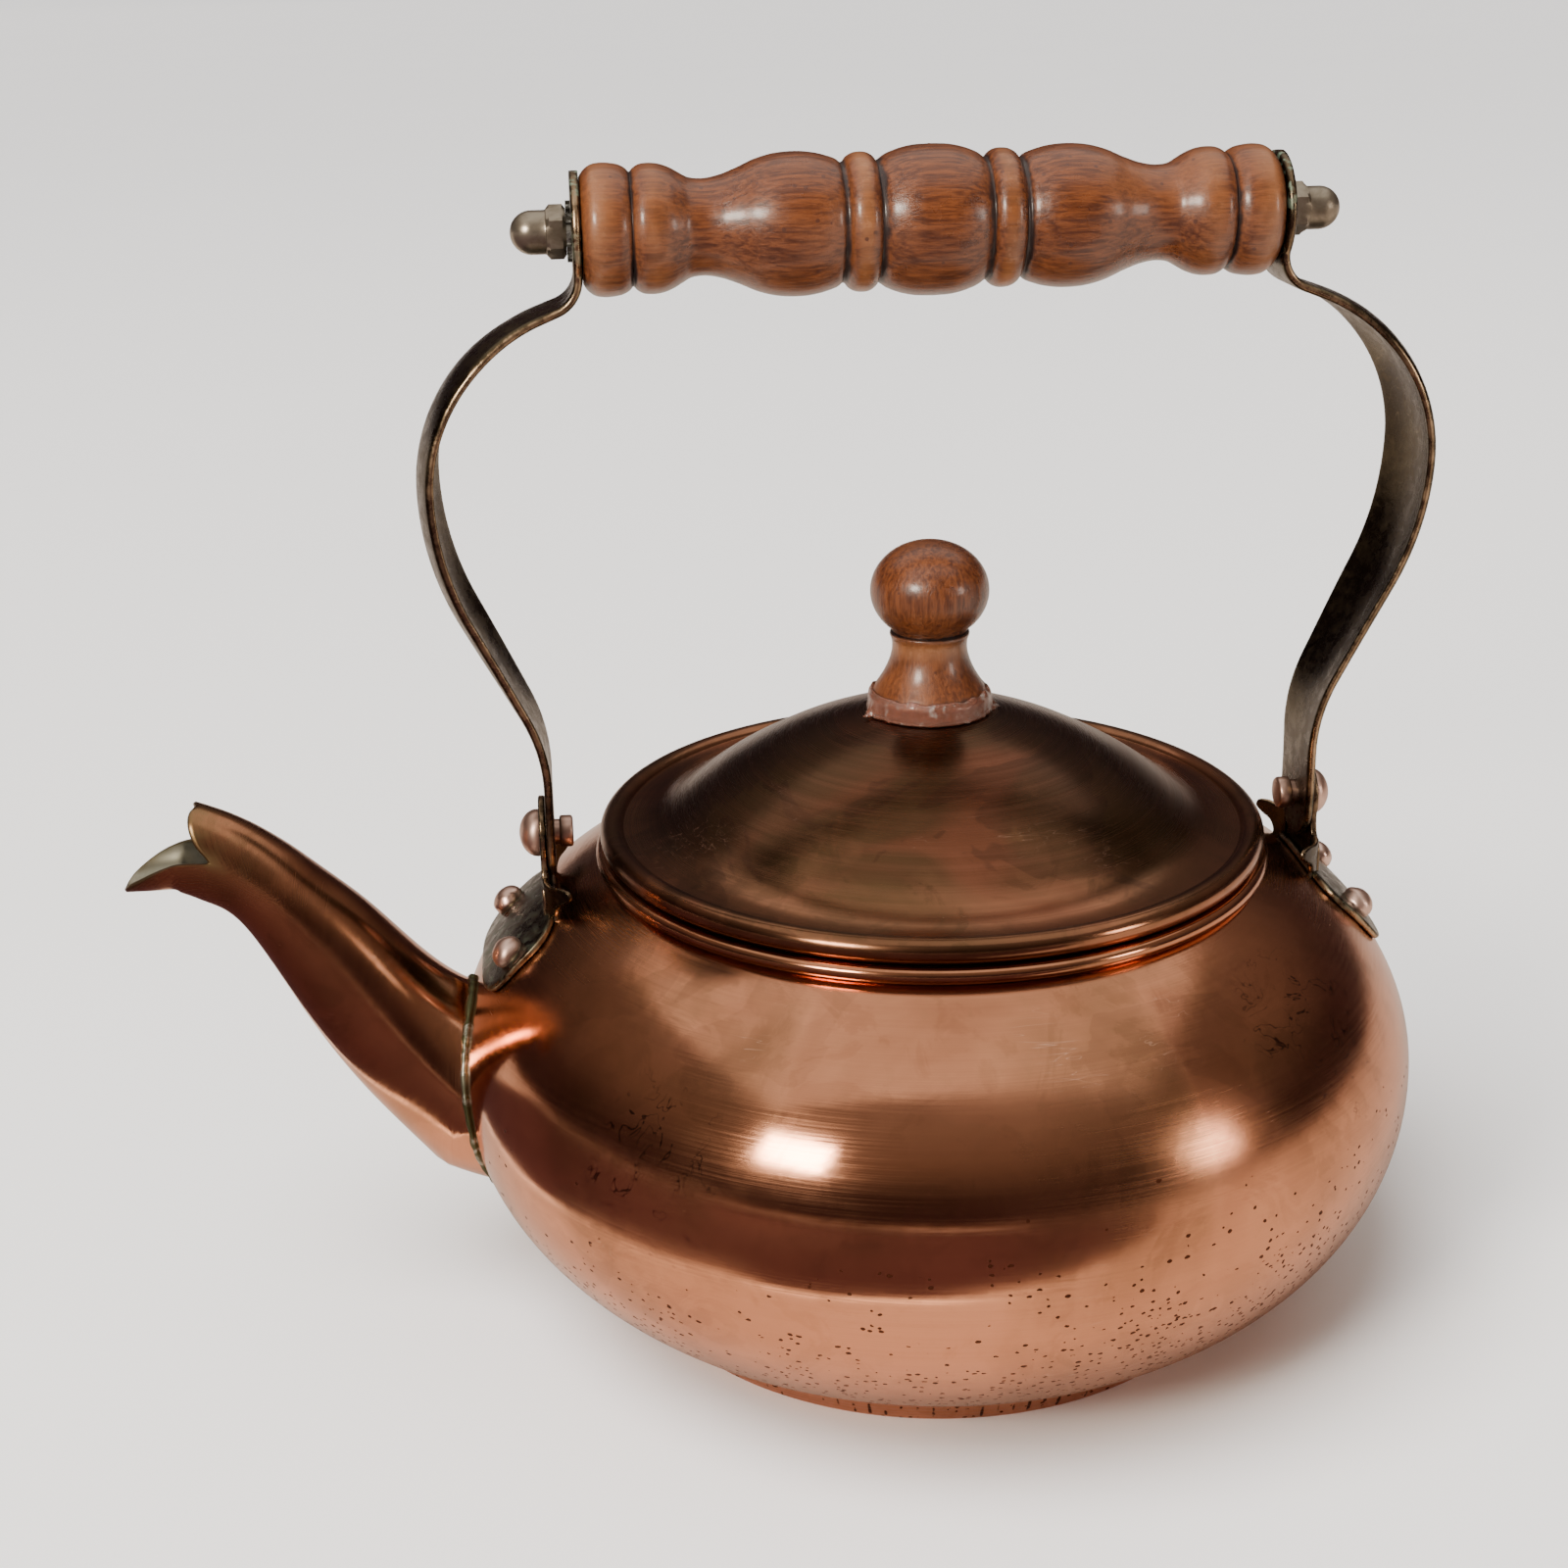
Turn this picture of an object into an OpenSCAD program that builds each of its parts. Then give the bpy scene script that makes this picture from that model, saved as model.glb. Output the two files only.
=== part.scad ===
// Copper kettle with a gooseneck spout, a swinging brass bail and a turned wooden grip.
// Millimetres, +Z up. The origin is on the body's axis in the resting plane.
// The spout points to -X. The bail's pivots and the grip lie along X, in the XZ mirror plane.

/* [Body] */
// Largest radius of the body
belly_r = 90; // [88:1:110]
// Height of the largest radius
belly_z = 47.7; // [40:0.1:60]
// Depth of the lower curve below the largest radius
lower_drop = 54.5; // [45:0.1:70]
// Height of the upper curve above the largest radius
upper_rise = 50.5; // [40:0.1:65]
// Thickness of the copper sheet
sheet = 1.0; // [0.6:0.1:2]
// Height of the crimped foot
foot_h = 4.95; // [3:0.05:8]
// Inner radius of the neck
neck_r = 58.4; // [48:0.1:60]

/* [Lid] */
// Height of the lid's crown above the neck's rim
lid_rise = 24.4; // [15:0.1:40]
// Radius of the rolled bead's cross-section
bead_r = 2.3; // [1.5:0.1:4]
// Radius of the knob's ball
knob_ball_r = 10.8; // [8:0.1:16]
// Height of the knob
knob_h = 31.5; // [24:0.1:45]

/* [Spout] */
// Reach of the spout's lower lip beyond the body's largest radius
spout_reach = 58.2; // [50:0.1:75]
// Height of the spout's axis at its mouth above the body's largest radius
mouth_rise = 44.8; // [36:0.1:60]
// Outer radius of the spout at its mouth
mouth_r = 6.4; // [5:0.1:10]
// Thickness of the spout's wall
spout_wall = 0.9; // [0.6:0.1:1.5]

/* [Bail] */
// Height of the bail's pivots above the shoulder below them
pivot_rise = 12.6; // [12:0.05:15]
// Distance of each strap's lower leg from the inside of the neck
leg_gap = 12.25; // [11:0.05:14]
// Radius of the pivot pins
pin_r = 2.3; // [1.5:0.1:3.5]
// Height of the grip's axis above the pivots
grip_rise = 108.8; // [90:0.1:135]
// Half length of the wooden grip
grip_half = 59.9; // [45:0.1:62]
// Largest radius of the grip
grip_r = 12.75; // [10:0.05:18]
// Radius of the rod through the grip
rod_r = 2.5; // [2:0.1:4]
// Thickness of the straps
strap_t = 1.5; // [1:0.1:3]
// Width of the straps at their widest
strap_w = 23; // [14:0.5:30]

/* [Fits] */
// Gap between pieces that touch
seat_gap = 0.05; // [0.02:0.01:0.1]
// Radial clearance of the running fits
run_gap = 0.06; // [0.02:0.01:0.1]

/* [Hidden] */
$fn = 96;

copper = "#b5744f";
brass = "#6d6247";
wood = "#a5673c";
steel = "#8d8a80";

// Squareness of the body's lower and upper curves, 1 being an ellipse
lower_pow = [0.867, 0.957];
upper_pow = 0.952;
// Angles at which the curves meet the foot and the neck
foot_angle = asin(pow((belly_z - foot_h - seat_gap) / lower_drop, 1 / lower_pow[1]));
neck_angle = acos(pow((neck_r + 2.2) / belly_r, 1 / upper_pow));
neck_z = belly_z + upper_rise * pow(sin(neck_angle), upper_pow);
rim_z = neck_z + 2.9;
foot_r = belly_r * pow(cos(foot_angle), lower_pow[0]);
collar_r = neck_r + 4.1;
bead_c = [neck_r + 0.9, rim_z + seat_gap + bead_r];
crown_z = rim_z + lid_rise;
lid_t = 0.8;
skirt_gap = 0.7;
skirt_drop = 8.5;
pivot_x = neck_r + leg_gap;
rivet_at = [pivot_x + 7.55, 11.8];
rivet_r = 1.6;
ear_t = 1.25;
ear_r = 6.8;
ear_x = pivot_x + strap_t / 2 + 0.08;
plate_t = 1.3;
hex_af = 2 * rod_r + 3;
washer_t = 0.8;

// Points of the body's outline, shrunk inwards by d: lower curve and upper curve
function lower_at(a, d) = [(belly_r - d) * pow(cos(a), lower_pow[0]),
    belly_z - (lower_drop - d) * pow(sin(a), lower_pow[1])];
function upper_at(a, d) = [(belly_r - d) * pow(cos(a), upper_pow),
    belly_z + (upper_rise - d) * pow(sin(a), upper_pow)];
function outline(d, steps = 16) = concat(
    [for (i = [steps:-1:1]) lower_at(foot_angle * i / steps, d)],
    [for (i = [0:steps]) upper_at(neck_angle * i / steps, d)]);
// Steepness of the shoulder at radius r, in degrees below the horizontal
function shoulder_z(r) = belly_z + upper_rise * pow(sin(acos(pow(r / belly_r, 1 / upper_pow))), upper_pow);
function shoulder_slope(r) = atan((shoulder_z(r - 0.5) - shoulder_z(r + 0.5)));
pivot_z = shoulder_z(pivot_x) + pivot_rise;
grip_z = pivot_z + grip_rise;

// Closed solid through equal rings of points, its ends closed by fans about their middles
function middle(ring) = [for (k = [0:2]) sum_of([for (p = ring) p[k]]) / len(ring)];
function sum_of(list, i = 0) = i == len(list) ? 0 : list[i] + sum_of(list, i + 1);
module skin(rings) {
    n = len(rings[0]);
    last = (len(rings) - 1) * n;
    hub = len(rings) * n;
    sides = [for (i = [0:len(rings) - 2]) for (j = [0:n - 1])
        let (a = i * n + j, b = i * n + (j + 1) % n) each [[a, b, b + n], [a, b + n, a + n]]];
    ends = [for (j = [0:n - 1]) let (k = (j + 1) % n) each [[hub, k, j], [hub + 1, last + j, last + k]]];
    polyhedron(concat([for (ring = rings) each ring], [middle(rings[0]), middle(rings[len(rings) - 1])]),
        concat(sides, ends));
}
module both_sides() {
    children();
    mirror([0, 1, 0]) children();
}
module rear() { mirror([1, 0, 0]) children(); }
// Bore along X through whatever stands at x
module bore_x(r, x, z) { translate([x, 0, z]) rotate([0, 90, 0]) cylinder(r = r, h = 20, center = true); }

// ---- Body ----
// A layer of the body between two depths, for the shell and all that lies on it
module body_layer(d0, d1) {
    back = outline(d1);
    rotate_extrude() polygon(concat(outline(d0), [for (i = [len(back) - 1:-1:0]) back[i]]));
}
// The rivets' places on the front shoulder, looking along the surface's normal
module at_rivets() {
    r = norm(rivet_at);
    both_sides() rotate([0, 0, 180 - atan(rivet_at[1] / rivet_at[0])])
        translate([r, 0, shoulder_z(r)]) rotate([0, shoulder_slope(r), 0]) children();
}
module body_shell() {
    lip = [[neck_r + 1, neck_z], [neck_r + 1, rim_z - 0.25], [neck_r, rim_z - 0.25], [neck_r, neck_z - 1.1]];
    inner = outline(sheet);
    color(copper) difference() {
        rotate_extrude() polygon(concat(outline(0), lip, [for (i = [len(inner) - 1:-1:0]) inner[i]]));
        translate([-belly_r, 0, belly_z - 2]) rotate([0, -70, 0]) cylinder(r = 12.5, h = 30, center = true);
        at_rivets() cylinder(r = rivet_r + seat_gap, h = 8, center = true);
        rear() at_rivets() cylinder(r = rivet_r + seat_gap, h = 8, center = true);
    }
}
module base_pan() {
    top = foot_r + 0.1;
    color(copper) rotate_extrude() polygon([[0, 0], [foot_r - 2.2, 0], [foot_r - 1.7, 0.4], [top, foot_h - 0.7],
        [top + 0.3, foot_h - 0.35], [top + 0.1, foot_h], [foot_r - 1.3, foot_h], [foot_r - 1.3, foot_h + 2.5],
        [foot_r - 2.1, foot_h + 2.5], [foot_r - 2.9, 1], [0, 1]]);
}
module neck_collar() {
    inner = neck_r + 1 + seat_gap;
    half = (rim_z - neck_z) / 2 - seat_gap / 2;
    mid = (rim_z + neck_z + seat_gap) / 2;
    color(copper) rotate_extrude() polygon(concat([[inner, mid + half], [inner, mid - half]],
        [for (a = [-90:15:90]) [collar_r - half + half * cos(a), mid + half * sin(a)]]));
}

// ---- Spout ----
root_r = 18.5;
mouth_z = belly_z + mouth_rise;
tip_x = -belly_r - spout_reach;
// The lower lip runs on past the mouth by this much
lip_run = 10.2;
spout_ctrl = [[12 - belly_r, belly_z - 6.7], [-22 - belly_r, belly_z + 4.3], [-22 - belly_r, mouth_z - 0.5],
    [tip_x + lip_run, mouth_z]];
function bezier(p, t) = pow(1 - t, 3) * p[0] + 3 * t * pow(1 - t, 2) * p[1]
    + 3 * t * t * (1 - t) * p[2] + pow(t, 3) * p[3];
function heading(p, t) = let (d = pow(1 - t, 2) * (p[1] - p[0]) + 2 * t * (1 - t) * (p[2] - p[1])
    + t * t * (p[3] - p[2])) d / norm(d);
function spout_r(t) = min(root_r, mouth_r + 9.4 * (1 - t) + 10 * pow(1 - t, 11));
function spout_ring(t, grow) = let (c = bezier(spout_ctrl, t), d = heading(spout_ctrl, t), r = spout_r(t) + grow)
    [for (a = [0:15:345]) [c[0] - r * sin(a) * d[1], -r * cos(a), c[1] + r * sin(a) * d[0]]];
module spout_solid(grow) {
    rings = [for (i = [0:20]) spout_ring(i / 20, grow)];
    buried = [for (p = rings[0]) p + [12, 0, -4]];
    lip = [for (p = rings[20]) p - [lip_run, 0, 0.3]];
    skin(concat([buried], rings, [lip]));
}
module body_core(grow) {
    rotate_extrude() polygon(concat([[0, 0]], outline(-grow), [[0, neck_z]]));
}
module spout_tube() {
    // Beak of the mouth: the upper lip is cut back, and the lower one runs on as a trough
    beak = [[12.4, 8.5], [14, 3], [14.2, 0.1], [12, -1.2], [4.7, -2.9], [-1.8, -5.9], [-12, -6.5], [-12, 8.5]];
    color(copper) difference() {
        spout_solid(0);
        spout_solid(-spout_wall);
        translate([tip_x, 0, mouth_z]) rotate([0, 90, 0])
            cylinder(r = mouth_r - spout_wall, h = 2 * lip_run, center = true);
        body_core(seat_gap);
        translate([tip_x, 0, mouth_z]) rotate([90, 0, 0]) linear_extrude(40, center = true) polygon(beak);
    }
}
module spout_solder() {
    color(steel) difference() {
        intersection() {
            spout_solid(1.1);
            body_core(0.75);
        }
        spout_solid(seat_gap);
        body_core(seat_gap);
    }
}

// ---- Brackets ----
// Upright ear in its own plane, with the pivot at the top: x runs across, y runs up
module ear_outline() {
    base = shoulder_z(ear_x + 2) - pivot_z;
    waist = [[ear_r, 0], [ear_r - 0.6, -3], [ear_r + 0.1, -5.6], [ear_r + 2.4, -7], [ear_r + 2.4, base]];
    circle(r = ear_r);
    polygon(concat(waist, [for (i = [len(waist) - 1:-1:0]) [-waist[i][0], waist[i][1]]]));
}
// Leaf-shaped cusp beside the ear, turned in towards the lid
module cusp() {
    rotate([0, 0, 38]) rotate([90, 0, 90]) linear_extrude(ear_t) polygon([[-0.8, -6.9], [2.5, -7.3],
        [5.2, -7.2], [6.4, -8], [6, -9.3], [4.2, -10.2], [3.3, -12], [3.4, -15], [-0.8, -15]]);
}
module bracket_plan() {
    hull() both_sides() {
        translate([pivot_x + 1.55, 12.5]) circle(r = 2.2);
        translate([pivot_x + 8.35, 12.4]) circle(r = 4.6);
        translate([pivot_x + 11.35, 7]) circle(r = 2);
    }
}
module bracket() {
    difference() {
        union() {
            intersection() {
                body_layer(-plate_t - seat_gap, -seat_gap);
                translate([0, 0, belly_z]) linear_extrude(50) bracket_plan();
            }
            difference() {
                translate([ear_x, 0, pivot_z]) union() {
                    rotate([90, 0, 90]) linear_extrude(ear_t) ear_outline();
                    both_sides() translate([0, 8.6, 0]) cusp();
                }
                body_core(seat_gap);
            }
        }
        bore_x(pin_r + seat_gap, pivot_x, pivot_z);
        rear() at_rivets() cylinder(r = rivet_r + seat_gap, h = 12, center = true);
    }
}
module bracket_front() { color(brass) rear() bracket(); }
module bracket_rear() { color(brass) bracket(); }
module rivet() {
    head = 3.1;
    rotate_extrude() polygon(concat([[0, -sheet - 1.1], [rivet_r + 0.6, -sheet - 0.9], [rivet_r + 0.6, -sheet - 0.1],
        [rivet_r, -sheet - 0.1], [rivet_r, plate_t + 0.15], [head, plate_t + 0.15]],
        [for (a = [15:15:90]) [head * cos(a), plate_t + 0.3 + 2.3 * sin(a)]]));
}
module bracket_rivets() {
    color(copper) {
        at_rivets() rivet();
        rear() at_rivets() rivet();
    }
}
module pivot_pin() {
    out = ear_x + ear_t + seat_gap;
    upset = pivot_x - strap_t / 2 - 0.9;
    upset_r = pin_r + 0.65;
    dome_r = pin_r + 2.1;
    translate([0, 0, pivot_z]) rotate([0, 90, 0]) rotate_extrude() polygon(concat(
        [[0, upset - 2.5], [upset_r - 0.45, upset - 2.5], [upset_r, upset - 2.1], [upset_r, upset],
            [pin_r, upset + 0.1], [pin_r, out], [dome_r, out]],
        [for (a = [0:15:90]) [dome_r * cos(a), out + 0.3 + 2.1 * sin(a)]]));
}
module pivot_pins() {
    color(copper) {
        pivot_pin();
        rear() pivot_pin();
    }
}

// ---- Bail ----
// Legs of the strap from the top of its eye to its foot: length, turn in degrees and number of steps.
// The outward run and the inward run close the gap between the eye and the foot.
strap_x = grip_half + 0.1 + strap_t / 2;
eye_r = 10;
end_r = 8;
out_head = -20;
in_head = -117;
function strap_legs(outward, inward) = [[eye_r + 7.1, 0, 14], [7.33, out_head + 90, 8], [outward, 0, 2],
    [37.9, -90 - out_head, 14], [24.5, 90 + in_head, 6], [inward, 0, 4], [15.1, -90 - in_head, 6], [end_r + 10, 0, 14]];
function strap_steps(legs) = [for (leg = legs) for (k = [1:leg[2]]) [leg[0], leg[1]] / leg[2]];
// Stations along the strap: position, heading and distance travelled
function trace(steps, i, p, h, s) = i == len(steps) ? [[p, h, s]] : concat([[p, h, s]],
    let (mid = h + steps[i][1] / 2)
    trace(steps, i + 1, p + steps[i][0] * [cos(mid), sin(mid)], h + steps[i][1], s + steps[i][0]));
function walk(legs) = trace(strap_steps(legs), 0, [strap_x, grip_z + eye_r], -90, 0);
function last_of(list) = list[len(list) - 1];
missing = [pivot_x, pivot_z - end_r] - last_of(walk(strap_legs(0, 0)))[0];
outward_run = (missing[0] * sin(in_head) - missing[1] * cos(in_head)) / sin(in_head - out_head);
inward_run = (cos(out_head) * missing[1] - sin(out_head) * missing[0]) / sin(in_head - out_head);
stations = walk(strap_legs(outward_run, inward_run));
strap_len = last_of(stations)[2];
function round_end(r, s) = sqrt(max(0.8, r * r - pow(max(r - s, 0), 2)));
function eye_half(s) = sqrt(max(0, eye_r * eye_r - pow(s - eye_r, 2)));
// Half width along the strap, at shares of its length
half_widths = [[0.17, 7.4], [0.31, strap_w * 0.47], [0.46, strap_w / 2], [0.88, end_r + 0.2], [1, end_r]];
function strap_half(s) = s < eye_r ? round_end(eye_r, s)
    : s > strap_len - end_r ? round_end(end_r, strap_len - s)
    : max(eye_half(s), lookup(s / strap_len, half_widths));
dishes = [[0.17, 0], [0.29, 1.6], [0.42, 2.2], [0.68, 2.0], [0.82, 0.8], [0.88, 0]];
function strap_ring(st) = let (h = st[1], out = [-sin(h), cos(h)], w = strap_half(st[2]),
    dish = lookup(st[2] / strap_len, dishes), row = [for (v = [-1:1 / 3:1.01]) [v * w, dish * (0.5 - v * v)]])
    concat([for (p = row) strap_point(st[0], out, p, strap_t / 2)],
        [for (i = [len(row) - 1:-1:0]) strap_point(st[0], out, row[i], -strap_t / 2)]);
function strap_point(at, out, p, lift) = [at[0] + out[0] * (p[1] + lift), p[0], at[1] + out[1] * (p[1] + lift)];
module strap() {
    difference() {
        skin([for (st = stations) strap_ring(st)]);
        bore_x(rod_r + seat_gap, strap_x, grip_z);
        bore_x(pin_r + run_gap, pivot_x, pivot_z);
    }
}
module strap_front() { color(brass) rear() strap(); }
module strap_rear() { color(brass) strap(); }

washer_x = strap_x + strap_t / 2 + seat_gap;
nut_x = washer_x + washer_t + seat_gap;
module tie_rod() {
    color(steel) translate([0, 0, grip_z]) rotate([0, 90, 0]) cylinder(r = rod_r, h = 2 * nut_x + 11, center = true);
}
module lock_washer() {
    translate([washer_x, 0, grip_z]) rotate([0, 90, 0]) linear_extrude(washer_t) difference() {
        union() {
            circle(r = rod_r + 1.6);
            for (a = [0:30:330]) rotate(a) translate([rod_r + 1.9, 0]) square([1.4, 1.1], center = true);
        }
        circle(r = rod_r + seat_gap);
    }
}
module cap_nut() {
    r = rod_r + 1.2;
    hex_h = 3.4;
    translate([nut_x, 0, grip_z]) rotate([0, 90, 0]) difference() {
        union() {
            cylinder(d = hex_af / cos(30), h = hex_h, $fn = 6);
            rotate_extrude() polygon(concat([[0, hex_h - 0.1], [r, hex_h - 0.1]],
                [for (a = [0:15:90]) [r * cos(a), hex_h + 2.4 + r * sin(a)]]));
        }
        translate([0, 0, -1]) cylinder(r = rod_r + seat_gap, h = 7);
    }
}
module lock_washers() {
    color(steel) {
        lock_washer();
        rear() lock_washer();
    }
}
module cap_nuts() {
    color(steel) {
        cap_nut();
        rear() cap_nut();
    }
}
// Turned beads of one half of the grip, from the middle out: place and radius
grip_beads = [[0, 1], [0.11, 0.975], [0.148, 0.81], [0.155, 0.8], [0.165, 0.86], [0.2, 0.905], [0.238, 0.87],
    [0.255, 0.78], [0.268, 0.78], [0.3, 0.88], [0.36, 0.94], [0.42, 0.945], [0.48, 0.9], [0.55, 0.77],
    [0.62, 0.66], [0.66, 0.635], [0.7, 0.66], [0.725, 0.8], [0.76, 0.845], [0.8, 0.85], [0.835, 0.81],
    [0.86, 0.68], [0.87, 0.66], [0.885, 0.74], [0.91, 0.84], [0.94, 0.87], [0.97, 0.83], [1, 0.7]];
module handle_grip() {
    bead_pts = [for (b = grip_beads) [grip_r * b[1], grip_half * b[0]]];
    mirrored = [for (i = [len(bead_pts) - 1:-1:1]) [bead_pts[i][0], -bead_pts[i][1]]];
    bore = rod_r + run_gap;
    color(wood) translate([0, 0, grip_z]) rotate([0, 90, 0])
        rotate_extrude() polygon(concat([[bore, -grip_half]], mirrored, bead_pts, [[bore, grip_half]]));
}

// ---- Lid ----
// Upper side of the lid: radius as a share of the bead's, height as a share of the crown's rise
lid_curve = [[0.17, 1], [0.27, 0.945], [0.37, 0.865], [0.47, 0.765], [0.57, 0.64], [0.655, 0.52],
    [0.725, 0.405], [0.785, 0.3], [0.835, 0.222], [0.885, 0.172], [0.935, 0.147], [0.965, 0.14]];
lid_top = [for (p = lid_curve) [bead_c[0] * p[0], rim_z + lid_rise * p[1]]];
module lid_shell() {
    under = [for (i = [len(lid_top) - 1:-1:0]) lid_top[i] - [0.25, lid_t]];
    bead = [for (a = [150:-15:-180]) bead_c + bead_r * [cos(a), sin(a)]];
    color(copper) difference() {
        rotate_extrude() polygon(concat([[0, crown_z]], lid_top, bead, under, [[0, crown_z - lid_t]]));
        cylinder(r = 2.1, h = 400);
    }
}
module lid_skirt() {
    r = min(neck_r - skirt_gap, bead_c[0] - bead_r - seat_gap);
    top = rim_z + lid_rise * lid_curve[10][1] - lid_t - seat_gap - 0.15;
    color(copper) translate([0, 0, rim_z - skirt_drop]) difference() {
        cylinder(r = r, h = top - rim_z + skirt_drop);
        translate([0, 0, -1]) cylinder(r = r - lid_t, h = 20);
    }
}
// Outline of the knob below its ball: radius as a share of the ball's, height as a share of the knob's
knob_curve = [[1.01, 0], [1.02, 0.098], [0.963, 0.114], [0.917, 0.146], [0.778, 0.222], [0.676, 0.302],
    [0.634, 0.381], [0.667, 0.457], [0.62, 0.473]];
module lid_knob() {
    base = crown_z + seat_gap;
    ball_h = 0.843 * knob_ball_r;
    color(wood) difference() {
        translate([0, 0, base]) rotate_extrude() polygon(concat([[0, 0]],
            [for (p = knob_curve) [knob_ball_r * p[0], knob_h * p[1]]],
            [for (a = [-48:12:84]) [knob_ball_r * cos(a), knob_h - ball_h + ball_h * sin(a)]], [[0, knob_h]]));
        translate([0, 0, base - 1]) cylinder(r = 2 + seat_gap, h = 14);
    }
}
module knob_washer() {
    color(steel) translate([0, 0, crown_z - lid_t - seat_gap - 0.9]) difference() {
        cylinder(r = 6, h = 0.9);
        translate([0, 0, -1]) cylinder(r = 2.1, h = 4);
    }
}
module knob_screw() {
    under = crown_z - lid_t - 2 * seat_gap - 0.9;
    color(steel) {
        translate([0, 0, under - 0.01]) cylinder(r = 2, h = 14);
        translate([0, 0, under - 2.2]) cylinder(r1 = 3.2, r2 = 4, h = 2.2);
    }
}

body_shell();
base_pan();
neck_collar();
spout_tube();
spout_solder();
bracket_front();
bracket_rear();
bracket_rivets();
pivot_pins();
strap_front();
strap_rear();
tie_rod();
lock_washers();
cap_nuts();
handle_grip();
lid_shell();
lid_skirt();
lid_knob();
knob_washer();
knob_screw();
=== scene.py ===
"""Looks of a copper kettle: spun body, gooseneck spout, brass bail, turned wooden grip and lid."""

import logging
import math
from dataclasses import dataclass, field
from enum import Enum

import bpy
import numpy as np
from mathutils import Matrix, Vector


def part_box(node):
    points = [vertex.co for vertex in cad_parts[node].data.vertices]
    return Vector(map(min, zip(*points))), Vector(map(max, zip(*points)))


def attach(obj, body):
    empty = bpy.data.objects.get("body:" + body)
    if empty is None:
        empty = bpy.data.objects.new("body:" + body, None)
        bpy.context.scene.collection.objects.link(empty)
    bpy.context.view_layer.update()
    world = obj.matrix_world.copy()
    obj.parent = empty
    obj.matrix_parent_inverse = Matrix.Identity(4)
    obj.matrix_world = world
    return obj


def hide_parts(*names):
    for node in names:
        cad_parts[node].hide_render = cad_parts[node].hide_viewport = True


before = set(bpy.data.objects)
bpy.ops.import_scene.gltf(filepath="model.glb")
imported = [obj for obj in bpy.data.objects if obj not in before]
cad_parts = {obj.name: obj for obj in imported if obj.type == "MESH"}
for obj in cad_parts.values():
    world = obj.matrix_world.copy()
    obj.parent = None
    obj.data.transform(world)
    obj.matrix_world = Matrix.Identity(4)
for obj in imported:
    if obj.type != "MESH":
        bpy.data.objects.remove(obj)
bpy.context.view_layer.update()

log = logging.getLogger("kettle")
MM = 0.001
Array = np.ndarray
Pair = tuple[float, float]
Triple = tuple[float, float, float]
Colour = Triple


# ---------------------------------------------------------------- surfaces

class Ends(Enum):
    """How the two ends of a lofted grid close."""

    RING = "the last row joins the first one"
    HUBS = "each end row closes in a fan about its middle"


class Axis(Enum):
    """Axis that a turned piece is spun about."""

    X = "x"
    Z = "z"


@dataclass
class Shell:
    """A closed surface in millimetres.

    Args:
        points: array of shape (n, 3).
        faces: arrays of corner numbers, four or three to a face.
        masks: one value per point for each painted mask.
    """

    points: Array
    faces: list[Array]
    masks: dict[str, Array] = field(default_factory=dict)

    def moved(self, matrix: Array, offset: Array) -> "Shell":
        """Returns the shell turned by a 3 by 3 matrix and then moved."""
        return outward(Shell(self.points @ matrix.T + offset, self.faces, self.masks))


def outward(shell: Shell) -> Shell:
    """Turns every face over if the enclosed volume, a sum of corner triple products, is negative.

    Args:
        shell: a closed surface.

    Returns:
        The same surface with its faces pointing out.
    """
    volume = 0.0
    for block in shell.faces:
        corner = shell.points[block]
        for k in range(1, block.shape[1] - 1):
            volume += np.einsum("ij,ij->", corner[:, 0], np.cross(corner[:, k], corner[:, k + 1]))
    if volume < 0:
        shell = Shell(shell.points, [block[:, ::-1] for block in shell.faces], shell.masks)
    return shell


def loft(grid: Array, ends: Ends, masks: dict[str, Array] | None = None) -> Shell:
    """Closed surface through a grid whose second parameter runs round and comes back to its start.

    Args:
        grid: points of shape (rows, columns, 3).
        ends: how the first and last rows close.
        masks: one value per grid point for each mask, of shape (rows, columns) or (rows, 1).

    Returns:
        The surface, its faces pointing out.
    """
    rows, columns = grid.shape[:2]
    here = np.arange(rows * columns).reshape(rows, columns)
    beside = np.roll(here, -1, axis=1)
    if ends is Ends.RING:
        block = np.stack([here, beside, np.roll(beside, -1, 0), np.roll(here, -1, 0)], -1)
    else:
        block = np.stack([here[:-1], beside[:-1], beside[1:], here[1:]], -1)
    faces = [block.reshape(-1, 4)]
    points = grid.reshape(-1, 3)
    flat = {name: np.broadcast_to(value, (rows, columns)).reshape(-1) for name,
            value in (masks or {}).items()}
    if ends is Ends.HUBS:
        hubs = rows * columns + np.arange(2)
        points = np.vstack([points, grid[0].mean(0), grid[-1].mean(0)])
        faces.append(np.stack([np.full(columns, hubs[0]), beside[0], here[0]], -1))
        faces.append(np.stack([np.full(columns, hubs[1]), here[-1], beside[-1]], -1))
        flat = {name: np.append(value, [value[0], value[-1]]) for name, value in flat.items()}
    return outward(Shell(points, faces, flat))


def joined(shells: list[Shell]) -> Shell:
    """Puts several closed surfaces into one, renumbering their faces and keeping their masks.

    Args:
        shells: the surfaces.

    Returns:
        One surface of separate closed parts.
    """
    starts = np.cumsum([0] + [len(s.points) for s in shells])
    faces = [block + start for s, start in zip(shells, starts) for block in s.faces]
    names = sorted({name for s in shells for name in s.masks})
    masks = {n: np.concatenate([s.masks.get(n, np.zeros(len(s.points))) for s in shells]) for n in names}
    return Shell(np.vstack([s.points for s in shells]), faces, masks)


def circle(count: int) -> Array:
    """Angles of evenly spaced steps round a full turn."""
    return np.linspace(0, 2 * np.pi, count, endpoint=False)


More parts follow.
